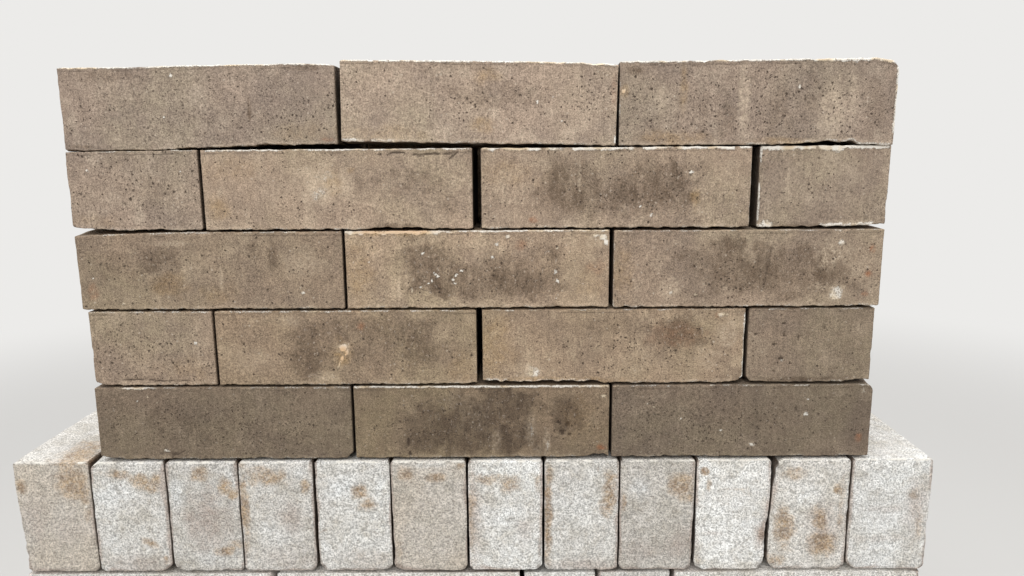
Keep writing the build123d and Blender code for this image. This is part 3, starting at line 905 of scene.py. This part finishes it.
look("2_4", 0.755, 0.52, [
    pit(31, 52, 1.5, 1.2), pit(32, 42, 2, 1.2, 0.9), pit(65, 48, 1.6, 1.2), pit(24, 34, 1.6, 1.9),
    pit(44, 40, 1.1, 2.6, 0.8, 20), pit(30, 22, 2.3, 1.4), white(31, 20, 2, 1.4, 0.8),
    pit(38, 18, 1.4, 1.3, 0.9), pit(25, 11, 1.3, 1.3, 0.9), pit(8, 43, 1.3, 1.3, 0.8),
    pit(55, 33, 1.2, 1.2, 0.8), dark(51, 2.5, 50, 3.4, 0.7), dark(84, 34, 16, 26, 0.2),
    pits(51, 32, 51, 20, 0.3)],
    lift=[(0, 0.6), (80, 0.4), (94, 2.5), (102, 2)], lips=[("top", 0, 102, 1.8), ("bottom", 60, 102, 1.6)],
    corners=[("left", "bottom", 6)])
look("1_1", 0.565, 0.60, [
    white(44, 57, 1.3, 1.3), white(35, 53, 1.3, 1.3), white(52, 52, 1.3, 1.3),
    chip(57, 9, 4.4, 1.8, 0.8, 25), black(62, 6, 5, 3.4, 0.6), line(66, 5, 9, 1.4, 0.8, -35),
    black(52, 6, 3, 2.4, 0.5), dark(70, 34, 40, 20, 0.25), light(160, 40, 34, 14, 0.12),
    pits(107, 32, 107, 22, 0.9)],
    lift=[(0, 3), (25, 0.5), (215, 0.5)],
    lips=[("top", 23, 56, 2.4), ("top", 0, 215, 1.4), ("bottom", 10, 200, 1.6)],
    corners=[("right", "bottom", 9)])
look("1_2", 0.63, 0.95, [
    dark(92, 33, 42, 32, 0.75), dark(131, 48, 26, 18), dark(133, 19, 24, 16), dark(60, 20, 22, 18, 0.6),
    dark(178, 42, 15, 20, 0.8), light(149, 26, 5, 14, 0.5), light(163, 14, 3.2, 12),
    light(120, 16, 4, 12, 0.7), white(163, 12, 2.2, 8, 0.6), white(150, 26, 2.2, 9, 0.55),
    pit(45, 16, 1.6, 5), pit(46, 4, 1.6, 4, 0.9), light(84, 54, 10, 8, 0.3), light(100, 40, 16, 18, 0.25),
    light(156, 8, 8, 6, 0.4), pit(175, 24, 2.6, 2.6), pit(180, 31, 1.9, 3), pit(172, 33, 1.8, 1.8, 0.9),
    pit(182, 22, 2.4, 1.6, 0.9), rust(209, 9, 4, 4, 0.9), white(210, 56, 2.6, 2, 0.9),
    ochre(190, 36, 18, 22, 0.2), pits(107, 34, 107, 24, 0.8)],
    lift=[(0, 0.4), (196, 0.6), (201, 3), (211, 3), (215, 1)],
    lips=[("top", 0, 215, 2.2), ("bottom", 20, 190, 1.6)])
look("1_3", 0.58, 0.50, [
    white(30, 49, 1.3, 1.3), white(35, 46, 1.3, 1.3), white(58, 36, 1.3, 1.3), white(164, 52, 1.3, 1.3),
    white(163, 39, 2.2, 2), white(188, 17, 1.3, 1.3), white(92, 25, 1.3, 1.3),
    light(122, 10, 9, 1.6, 1, 45), white(119, 12, 3.4, 1.8, 0.9, 30), line(126, 8, 8, 1.2, 0.6, 45),
    light(117, 13, 5, 1.4, 0.7, -30), white(210, 60, 5, 4, 0.5), rust(209, 18, 3, 4, 0.7),
    dark(110, 38, 60, 16, 0.2), pits(107, 32, 107, 22, 0.9)],
    lift=[(0, 0.4), (215, 0.5)], lips=[("top", 0, 215, 1.8), ("bottom", 0, 215, 1.6)],
    corners=[("right", "top", 6)])


def node_box(name):
    lo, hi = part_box(name)
    return np.array(lo) * 1000, np.array(hi) * 1000


def lay_front_brick(name, node, seed):
    """A brick of the front face, with its own look, lying flat or tipped."""
    course, position = name.split("_")
    lo, hi = node_box(node)
    left, right = REACH.get(name, (0.0, 0.0))
    lo[0] -= left
    hi[0] += right
    lo[1] -= FORWARD.get(course, 0.0)
    turned = hi[1] - lo[1] > hi[0] - lo[0]
    side_shown = turned or course == "5" or name in ("1_1", "1_3", "3_1", "3_3")
    tip = math.radians(TIP.get(name, 0.0))
    size = np.array([hi[0] - lo[0], hi[1] - lo[1], BRICK_HEIGHT])
    if tip:
        size[0] = (hi[0] - lo[0] - size[2] * math.sin(tip)) / math.cos(tip)
    xs, zs = (grid(size[axis], FRONT_STEP, NEAR_FINE) for axis in (0, 2))
    far = [0, 1.2, 3] if turned else [0]
    ys = grid(size[1], 10 if side_shown else NO_STEP, [0, 0.5, 1.2, 2.3, 4, 7, 12, 20], far)
    given = dict(LOOKS[name])
    given["marks"] = [(kind, x + left, *rest) for kind, x, *rest in given["marks"]]
    caps = () if turned else ("back",)
    points, quads, loops, values = brick(DARK_MAKE, size, (xs, ys, zs), seed, caps, **given)
    last = "4" if course in "24" else "3"
    shade_joints(values, position != "1", position != last, points[:, 0], size[0], DARK_JOINTS)
    if tip:
        x, y, z = points[:, 0] - size[0], points[:, 1], points[:, 2]
        c, s = math.cos(tip), math.sin(tip)
        points = np.stack([x * c + z * s, y, z * c - x * s], 1)
        lo += (size[0] * c, 0, 0)
        lo[2] = TIPPED_TOP - BRICK_HEIGHT
    one_piece(f"brick_{name}", (points + lo, quads, loops, values), DARK, "dark_brick", node)


def lay_back_brick(node, seed):
    """A brick of the second wythe, its front looking to the back."""
    course = node.split("_")[2]
    lo, hi = node_box(node)
    size = hi - lo
    rng = np.random.default_rng(seed)
    marks = [pits(size[0] / 2, 32, size[0] / 2, 18, 0.5)]
    for _ in range(3):
        x, z = rng.uniform(20, size[0] - 20), rng.uniform(15, 50)
        marks.append(dark(x, z, rng.uniform(8, 30), rng.uniform(6, 16), 0.4))
    tone = BACK_TONES[course] * rng.uniform(0.94, 1.06)
    xs, zs = (grid(size[axis], BACK_STEP, NEAR_PLAIN) for axis in (0, 2))
    ys = grid(size[1], 10 if course == "5" else NO_STEP, [0, 1, 2.4, 5, 10, 20], [0])
    lips = [("top", 0, size[0], 1.5), ("bottom", 20, size[0] - 40, 1.2)]
    made = brick(DARK_MAKE, size, (xs, ys, zs), seed, ("back",), marks, tone, lips=lips)
    points, quads, loops, values = made
    del values["joint"]
    x, y, z = points.T
    points = np.stack([size[0] - x, size[1] - y, z], 1) + lo
    name = node.replace("dark_brick", "brick")
    one_piece(name, (points, quads, loops, values), DARK, "dark_brick", node)


def lay_dark_bricks():
    for number, name in enumerate(sorted(LOOKS)):
        course, position = name.split("_")
        lay_front_brick(name, f"dark_brick_{course}_front_{position}", 11 + 7 * number)
    second_wythe = sorted(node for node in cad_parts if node.startswith("dark_brick") and "back" in node)
    for number, node in enumerate(second_wythe):
        lay_back_brick(node, 301 + 5 * number)


# Pale bricks
TOP_LAYER = 4
# Tone of all pale bricks, and how much of its beige is taken off a brick's top, as painted light from above
PALE_TONE = 0.97
TOP_WHITER = 0.8
# Steps of the grid on the front row and on the other bricks, and places of the first lines there
ROW_STEP, REST_STEP = 1.6, 8.0
NEAR_REST = [0, 1.2, 3.2, 7.0]
NEAR_DULL = [0, 2.2, 6.0]
# Millimetres within which a brick's side counts as one of the pack's outer sides
FACE_REACH, SIDE_REACH = 2, 6
# How far the photo's joints of the front row lie right of the solids', in millimetres, from the
# row's left end to its right end, and how much further a brick of that row reaches at each side
ROW_SHIFTS = [1.5, 2.3, 1.7, -1.8, -2.7, -2.9, -2.8, -3.2, -3.8, -4.2, -5.1, -3.9, -0.2]
FULLER = 0.25

# The twelve bricks of the front row: tone, how beige, marks, rounded corners, and drawn-in edges
FRONT_ROW = [
    (0.93, 0.80, [ochre(50, 84, 15, 18, 0.85), ochre(5, 80, 6, 7), ochre(60, 76, 6, 22, 0.85),
     mauve(14, 50, 14, 22, 0.5), mauve(46, 40, 16, 14, 0.35), white(60, 62, 2, 2, 0.7),
     top_ochre(50, 18, 20, 40, 0.8)], [], [("left", 0, 90, 3)]),
    (0.96, 0.15, [ochre(24, 91, 16, 5, 0.75), ochre(46, 83, 15, 7, 0.85, 20), ochre(56, 84, 5, 9, 0.85),
     ochre(47, 28, 9, 4.5, 0.8, 25), ochre(59, 12, 4, 7, 0.7), bloom(18, 72, 16, 14, 0.9),
     bloom(14, 30, 9, 12, 0.5), mauve(32, 8, 26, 9, 0.6)],
     [("left", "top", 9), ("right", "bottom", 11)], []),
    (0.89, 0.25, [ochre(28, 91, 10, 8, 0.85), ochre(50, 80, 7, 9, 0.95), ochre(57, 73, 6, 5, 0.8, -30),
     ochre(47, 20, 9, 6, 0.9), ochre(57, 27, 8, 5, 0.8, 25), mauve(33, 50, 20, 26), bloom(8, 74, 7, 14, 0.9),
     bloom(58, 88, 6, 10, 0.7), bloom(36, 14, 16, 8, 0.5)], [("left", "bottom", 10)], []),
    (0.94, 0.25, [ochre(4, 58, 6, 38), ochre(22, 88, 20, 9, 0.85), ochre(57, 80, 5, 9, 0.9),
     mauve(43, 51, 12, 14, 0.7), mauve(40, 12, 22, 12, 0.4), bloom(28, 36, 14, 12, 0.6),
     bloom(52, 92, 9, 6, 0.6)], [("right", "bottom", 8)], []),
    (0.98, 0.1, [ochre(36, 75, 8, 7, 0.9), ochre(45, 63, 8, 7, 0.65), bloom(22, 80, 14, 12, 0.9),
     bloom(56, 80, 8, 14, 0.8), white(54, 41, 5, 1.6, 0.8, 30), dark(50, 37, 5, 1.2, 0.5, 30),
     bloom(6, 25, 6, 11, 0.8), dark(4, 38, 5, 1.2, 0.6, -25), mauve(40, 10, 20, 10, 0.5)],
     [("left", "bottom", 9), ("right", "bottom", 8)], []),
    (0.94, 0.80, [ochre(14, 90, 10, 7, 0.75), ochre(40, 87, 9, 4.5, 0.85), ochre(60, 97, 5, 4, 0.5),
     ochre(4, 20, 5, 20, 0.4), bloom(34, 99, 18, 3, 0.6)],
     [("left", "bottom", 10)], [("left", 18, 14, 0.8)]),
    (1.05, 0, [ochre(15, 86, 13, 6, 0.75), ochre(34, 82, 12, 9, 0.7), ochre(60, 82, 3, 8, 0.6),
     ochre(2, 50, 6, 48, 0.6), mauve(3, 50, 8, 50, 0.7), mauve(47, 38, 7, 11, 0.55),
     dark(62, 24, 2.4, 14, 0.6), bloom(34, 50, 14, 12, 0.6)], [("right", "bottom", 8)], []),
    (0.98, 0.15, [ochre(3.5, 50, 4.5, 48), dark(4, 34, 2.4, 20, 0.4), ochre(55, 72, 7.5, 20),
     ochre(58, 88, 5, 4, 0.8), mauve(34, 5, 32, 7, 0.7), dark(46, 94, 1.2, 4, 0.5),
     bloom(22, 60, 14, 20, 0.4)], [("left", "bottom", 6)], []),
    (0.88, 0.45, [ochre(52, 80, 13, 12, 0.85), ochre(58, 70, 7, 6, 0.7), ochre(4, 64, 2, 8, 0.8),
     mauve(52, 26, 14, 14, 0.8), mauve(20, 18, 18, 12, 0.5), bloom(18, 76, 10, 8, 0.7)],
     [("right", "bottom", 7)], [("right", 20, 40, 1)]),
    (1.12, 0, [ochre(7, 92, 5, 5), dark(5, 94, 3, 3, 0.6), ochre(11, 81, 3, 8, 0.75),
     ochre(34, 76, 13, 2, 0.5), mauve(18, 35, 8, 2, 0.5), mauve(60, 33, 8, 15), dark(61, 34, 6, 12, 0.62),
     ochre(3, 10, 5, 8, 0.4), bloom(34, 50, 24, 30, 0.6)],
     [("left", "bottom", 10), ("right", "bottom", 12)],
     [("right", 33, 10, 0.4), ("right", 5, 70, 2.2), ("left", 40, 40, 0.4)]),
    (1.05, 0.25, [ochre(13, 41, 9, 19), dark(13, 34, 6, 8, 0.25), ochre(47, 26, 14, 14),
     dark(47, 25, 9, 9, 0.3), ochre(42, 47, 7, 16, 0.8, -20), dark(40, 50, 4, 6, 0.3),
     mauve(45, 40, 14, 22, 0.8), ochre(57, 74, 6, 6, 0.9), ochre(15, 90, 14, 9, 0.6),
     ochre(6, 9, 9, 7, 0.75), bloom(30, 70, 14, 10, 0.6), ochre(60, 60, 4, 40, 0.45)],
     [("left", "top", 13), ("left", "bottom", 9)], [("left", 30, 60, -1.6), ("left", 92, 16, 1.6)]),
    (1.045, 0, [ochre(61, 43, 5, 16, 0.45), mauve(57, 58, 9, 30, 0.7), bloom(30, 50, 30, 44, 0.5),
     dark(53, 69, 5, 4, 0.4, 40), ochre(54, 70, 6, 8, 0.4), mauve(30, 58, 24, 3, 0.4),
     mauve(32, 30, 26, 3, 0.4), bloom(24, 80, 18, 10, 0.5), top_ochre(22, 70, 8, 6, 0.5)],
     [("left", "bottom", 11)], [("right", 40, 12, 0.8)]),
]


def loose_boxes(node):
    """Lowest and highest corners, in millimetres, of each brick of a layer, by rows."""
    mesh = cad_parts[node].data
    co = np.zeros(len(mesh.vertices) * 3)
    mesh.vertices.foreach_get("co", co)
    co = co.reshape(-1, 3) * 1000
    _, same = np.unique(np.round(co, 1), axis=0, return_inverse=True)
    same = same.ravel()
    parent = list(range(same.max() + 1))

    def root(a):
        while parent[a] != a:
            parent[a] = parent[parent[a]]
            a = parent[a]
        return a

    for polygon in mesh.polygons:
        first, *others = [root(same[v]) for v in polygon.vertices]
        for other in others:
            parent[root(other)] = root(first)
    groups = {}
    for vertex, point in enumerate(same):
        groups.setdefault(root(point), []).append(vertex)
    boxes = [(co[g].min(0), co[g].max(0)) for g in groups.values()]
    return sorted(boxes, key=lambda b: (round(b[0][1]), b[0][0]))


def pale_grid(size, seen, fine):
    """Grid lines of a pale brick, close only on the sides that can be seen, and the sides to cap."""
    step, near = (ROW_STEP, NEAR_DEEP) if fine else (REST_STEP, NEAR_REST)
    sides, ends = seen["left"] or seen["right"], seen["front"] or seen["back"]
    xs, zs = (
        grid(size[axis], step, near) if shown else grid(size[axis], NO_STEP, NEAR_DULL)
        for axis, shown in ((0, ends or seen["top"]), (2, ends or sides)))
    if fine:
        return (xs, grid(size[1], 5 if sides else 40, near, NEAR_DULL), zs), {"back"}
    ys = grid(size[1], step if sides or seen["top"] else NO_STEP, near)
    return (xs, ys, zs), {side for side, shown in seen.items() if not shown}


def pale_brick(box, pack, seed, row_place, top_layer):
    """One pale brick. row_place counts those of the top layer's front row from 1, others have 0."""
    lo, hi = box[0].copy(), box[1].copy()
    rng = np.random.default_rng(seed)
    seen = {
        "front": lo[1] < pack[0][1] + FACE_REACH,
        "back": hi[1] > pack[1][1] - FACE_REACH,
        "left": lo[0] < pack[0][0] + SIDE_REACH,
        "right": hi[0] > pack[1][0] - SIDE_REACH,
        "bottom": False,
        "top": top_layer,
    }
    if row_place:
        lo[0] += ROW_SHIFTS[row_place - 1] - FULLER
        hi[0] += ROW_SHIFTS[row_place] + FULLER
    size = hi - lo
    places, caps = pale_grid(size, seen, row_place > 0)
    tone, beige, marks = rng.uniform(0.93, 1.06), rng.choice([0.1, 0.2, 0.3, 0.6, 0.85]), []
    corners, bites, lips = [], [], []
    if row_place:
        tone, beige, marks, chosen, bites = FRONT_ROW[row_place - 1]
        corners = [(side, "bottom", rng.uniform(4, 7)) for side in ("left", "right")]
        corners = [(side, "top", rng.uniform(2, 4)) for side in ("left", "right")] + corners + chosen
        # Pale crumbs along the top edge, with a painted highlight
        lips = [("top", 0, size[0], 1.9)]
    else:
        for _ in range(int(rng.integers(1, 4))):
            x, z = rng.uniform(0, size[0]), rng.uniform(10, size[2])
            marks.append(ochre(x, z, rng.uniform(4, 14), rng.uniform(4, 16), rng.uniform(0.6, 0.95)))
    edges = dict(corners=corners, bites=bites, lips=lips)
    made = brick(PALE_MAKE, size, places, seed, caps, marks, PALE_TONE * tone, **edges)
    points, quads, loops, values = made
    shade_joints(values, not seen["left"], not seen["right"], points[:, 0], size[0], PALE_JOINTS)
    values["light"] = np.maximum(values["light"], beige)
    if top_layer:
        # Painted light from above: top faces whiter, with less beige
        values["light"] *= 1 - TOP_WHITER * smooth(-3.0, 0.5, points[:, 2] - size[2])
    return points + lo, quads, loops, values


def lay_pale_layers():
    for layer in range(1, TOP_LAYER + 1):
        node = f"pale_layer_{layer}"
        top_layer = layer == TOP_LAYER
        boxes = loose_boxes(node)
        pack = np.min([lo for lo, _ in boxes], 0), np.max([hi for _, hi in boxes], 0)
        front, rest = Pile(), Pile()
        for number, box in enumerate(boxes):
            in_front_row = top_layer and box[0][1] < pack[0][1] + FACE_REACH
            row_place = number + 1 if in_front_row else 0
            pile = front if in_front_row else rest
            pile.add(*pale_brick(box, pack, 1000 * layer + number, row_place, top_layer))
        if top_layer:
            front.piece("pale_front_row", PALE, "pale_brick", node)
        name = "pale_rows_behind" if top_layer else f"pale_courses_{layer}"
        rest.piece(name, PALE, "pale_brick", node)


# Pallet
# Its half sizes, its wide boards, the middle of an end row of blocks, the corners cut off it, the
# bevels of its runners, and where its deck is nailed, all in millimetres
HALF_WIDTH, HALF_LENGTH = 400.0, 600.0
WIDE_BOARD = 145.0
END_ROW = HALF_LENGTH - WIDE_BOARD / 2
CORNER_CUT = 15.0
RUNNER_BEVEL = 8.0
DECK_NAIL_ROW = 572
# Grid steps of the timber, and the sizes of its fibres, across and along
TIMBER_STEP, LONG_STEP = 13.0, 22.0
FIBRE_WIDTH, FIBRE_LENGTH = 3.0, 26.0
NEAR_SAWN = [0, 0.8, 2.0, 4.5]
# How far the nails' heads stand above the deck, and above the underside of the runners
DECK_NAIL_LEVEL, RUNNER_NAIL_LEVEL = -0.35, 0.9


def timber(node, seed, grain_axis):
    """A sawn board, block or runner: worn arrises, slight waves, and its own place in the log."""
    lo, hi = node_box(node)
    size = hi - lo
    rng = np.random.default_rng(seed)
    steps = [TIMBER_STEP] * 3
    if max(size) > 300:
        steps[grain_axis] = LONG_STEP
    base, quads, loops = shell(*(grid(size[a], steps[a], NEAR_SAWN) for a in range(3)))
    q = base + SEED_STEP * (seed % 89) / 11.0
    p = base.copy()
    place = np.abs(base + lo)
    fibre = np.full(3, FIBRE_WIDTH)
    fibre[grain_axis] = FIBRE_LENGTH
    radius = 1.0 + 1.6 * noise(q, fibre, 1) ** 2 + 2.5 * smooth(0.70, 0.9, noise(q, fibre * 4, 2))
    round_edges(p, size, 1, 2, radius)
    if node.startswith("runner"):
        between = (place[:, 1] > WIDE_BOARD / 2 + 3) & (place[:, 1] < END_ROW - WIDE_BOARD / 2 - 6)
        bevelled = between & (base[:, 2] > size[2] / 2)
        held = p.copy()
        round_edges(held, size, 0, 2, np.where(bevelled, RUNNER_BEVEL, 0.5), cut=True)
    round_edges(p, size, 0, 2, radius)
    if node.startswith("runner"):
        p = np.where(bevelled[:, None], held, p)
    cutting = p.copy()
    round_edges(cutting, size, 0, 1, np.full(len(p), CORNER_CUT), cut=True)
    round_edges(p, size, 0, 1, radius)
    to_corner = np.abs(place[:, :2] - (HALF_WIDTH, HALF_LENGTH))
    p = np.where((to_corner < CORNER_CUT + 1).all(1)[:, None], cutting, p)
    sink = 0.35 * noise(q, fibre * 6, 3) + 0.5 * smooth(0.4, 0.9, noise(q, 110, 4))
    p -= outward(base, size, 2.5) * sink[:, None] * (1, 1, 0.6)
    values = {name: np.zeros(len(p)) for name in ATTRIBUTES}
    values["tone"] += rng.uniform(0.86, 1.08)
    length = base[:, grain_axis]
    values["dark"] = 0.45 * (1 - smooth(0, 5, np.minimum(length, size[grain_axis] - length)))
    # Grain coordinates in metres: along the board, and across it from a pith line outside or inside
    a, b = [axis for axis in range(3) if axis != grain_axis]
    pith = [rng.uniform(-0.3, 1.3) * size[a], -rng.uniform(10, 90)]
    grain = np.stack([length + 1700.0 * (seed % 31), base[:, a] - pith[0], base[:, b] - pith[1]], 1)
    values["grain"] = grain / 1000.0
    return p + lo, quads, loops, values


def nail_head(x, y, z, up, seed):
    """A round head, a little domed and sunk, standing on a short shank: rings from the middle out."""
    rng = np.random.default_rng(seed)
    tilt = rng.uniform(-0.05, 0.05, 2)
    rings = [(1.6, -3.0), (1.6, -0.6), (3.9, -0.5), (4.3, -0.25), (4.2, 0.05), (3.0, 0.3), (1.2, 0.42)]
    turns = np.linspace(0, 2 * math.pi, 21)[:-1]
    points = [(r * math.cos(a), r * math.sin(a), h) for r, h in rings for a in turns]
    points = np.array(points + [(0, 0, 0.45)])
    points[:, 2] += points[:, 0] * tilt[0] + points[:, 1] * tilt[1]
    points[:, 2] *= up
    points += (x, y, z)
    k, last = len(turns), (len(rings) - 1) * len(turns)
    quads, caps = [], []
    for start in range(0, last, k):
        for i in range(k):
            j = (i + 1) % k
            quads.append([start + i, start + j, start + k + j, start + k + i][::up])
    for i in range(k):
        caps.append(np.array([last + i, last + (i + 1) % k, len(points) - 1][::up]))
    return points, np.array(quads), caps, {name: np.zeros(len(points)) for name in ATTRIBUTES}


def add_nails(pile, node, places, level, up, seed):
    """Nails of a board, each at a share of its width and a y. Gives the seed of the nail after them."""
    lo, hi = node_box(node)
    middle, width = (lo[0] + hi[0]) / 2, hi[0] - lo[0]
    z = hi[2] + level if up > 0 else lo[2] + level
    for number, (share, y) in enumerate(places):
        pile.add(*nail_head(middle + share * width, y, z, up, seed + number))
    return seed + len(places)


def lay_pallet():
    timbers = sorted(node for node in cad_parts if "brick" not in node and "pale" not in node)
    for number, node in enumerate(timbers):
        surface = timber(node, 41 + 13 * number, 0 if node.startswith("cross") else 1)
        slot = "pallet_blocks" if node.startswith("block") else "pallet_boards"
        one_piece("timber_" + node, surface, WOOD, slot, node)
    nails = Pile()
    seed = 500
    # Shares of a board's width at which its nails stand
    wide, narrow = (-0.34, 0.0, 0.34), (-0.28, 0.28)
    for board, shares in enumerate((wide, narrow, wide, narrow, wide), start=1):
        places = [
            (share, end * (DECK_NAIL_ROW + (8 if number % 2 else -6)))
            for end in (-1, 1) for number, share in enumerate(shares)]
        seed = add_nails(nails, f"deck_board_{board}", places, DECK_NAIL_LEVEL, 1, seed)
    seed += 200
    for column in ("left", "middle", "right"):
        places = [
            (share, row + off)
            for row in (-END_ROW, 0.0, END_ROW) for share, off in ((-0.26, -38), (0.26, 34), (0.0, 2))]
        seed = add_nails(nails, f"runner_{column}", places, RUNNER_NAIL_LEVEL, -1, seed)
    nails.piece("nails", STEEL, "pallet_boards")


# Surroundings
BACKDROP = rgb(236, 235, 233)
FLOOR_HALF = 9
# Metres from the middle between which the floor takes on the backdrop's colour
BLEND_START, BLEND_END = 1.3, 3.2
WORLD_COLOUR, WORLD_STRENGTH = (1.0, 0.99, 0.975), 0.56
# Large soft lamps, each with its place and size in metres and its power in watts: overhead and a
# little in front, from the front, and fainter ones from the right and the back
LAMPS = [
    ("overhead", (-0.2, -0.3, 3.2), 3.0, 76.0),
    ("key", (-0.8, -2.8, 2.6), 2.4, 46.0),
    ("fill_right", (2.9, -0.8, 2.0), 2.4, 16.0),
    ("fill_back", (0.4, 3.0, 2.4), 2.6, 23.0),
]
LAMP_TARGET = (0, 0, 0.55)


def make_floor():
    """A floor that takes on the backdrop's colour far from the pallet, so that no line shows."""
    mesh = bpy.data.meshes.new("floor")
    corners = [(x * FLOOR_HALF, y * FLOOR_HALF, 0) for x, y in ((-1, -1), (1, -1), (1, 1), (-1, 1))]
    mesh.from_pydata(corners, [], [(0, 1, 2, 3)])
    floor = bpy.data.objects.new("floor", mesh)
    scene.collection.objects.link(floor)
    s = Shader("floor")
    s.fill(s.surface, {"Base Color": rgb(196, 195, 193), "Roughness": 0.9, "Specular IOR Level": 0.1})
    away = s.node("VectorMath", (s.place,), operation="LENGTH").outputs["Value"]
    share = s.times(s.seen_rays(), s.ramp(away, BLEND_START, BLEND_END))
    s.show(share, s.surface, s.node("Emission", (BACKDROP,)), "Material Output")
    mesh.materials.append(s.material)


def make_world():
    """A soft sky that gives light, and the backdrop where it is seen."""
    world = bpy.data.worlds.new("world")
    scene.world = world
    world.use_nodes = True
    w = Nodes(world.node_tree)
    sky = w.tree.nodes["Background"]
    w.fill(sky, (WORLD_COLOUR, WORLD_STRENGTH))
    w.show(w.seen_rays(), sky, w.node("Background", (BACKDROP,)), "World Output")


def make_lamps():
    for name, place, size, power in LAMPS:
        data = bpy.data.lights.new(name, "AREA")
        data.size, data.energy = size, power
        lamp = bpy.data.objects.new(name, data)
        lamp.location = place
        lamp.rotation_euler = (Vector(LAMP_TARGET) - Vector(place)).to_track_quat("-Z", "Y").to_euler()
        scene.collection.objects.link(lamp)


make_camera()
DARK, PALE, WOOD, STEEL = dark_clay(), pale_clay(), sawn_softwood(), nail_steel()
lay_dark_bricks()
lay_pale_layers()
lay_pallet()
make_floor()
make_world()
make_lamps()
scene.view_settings.view_transform = "Standard"
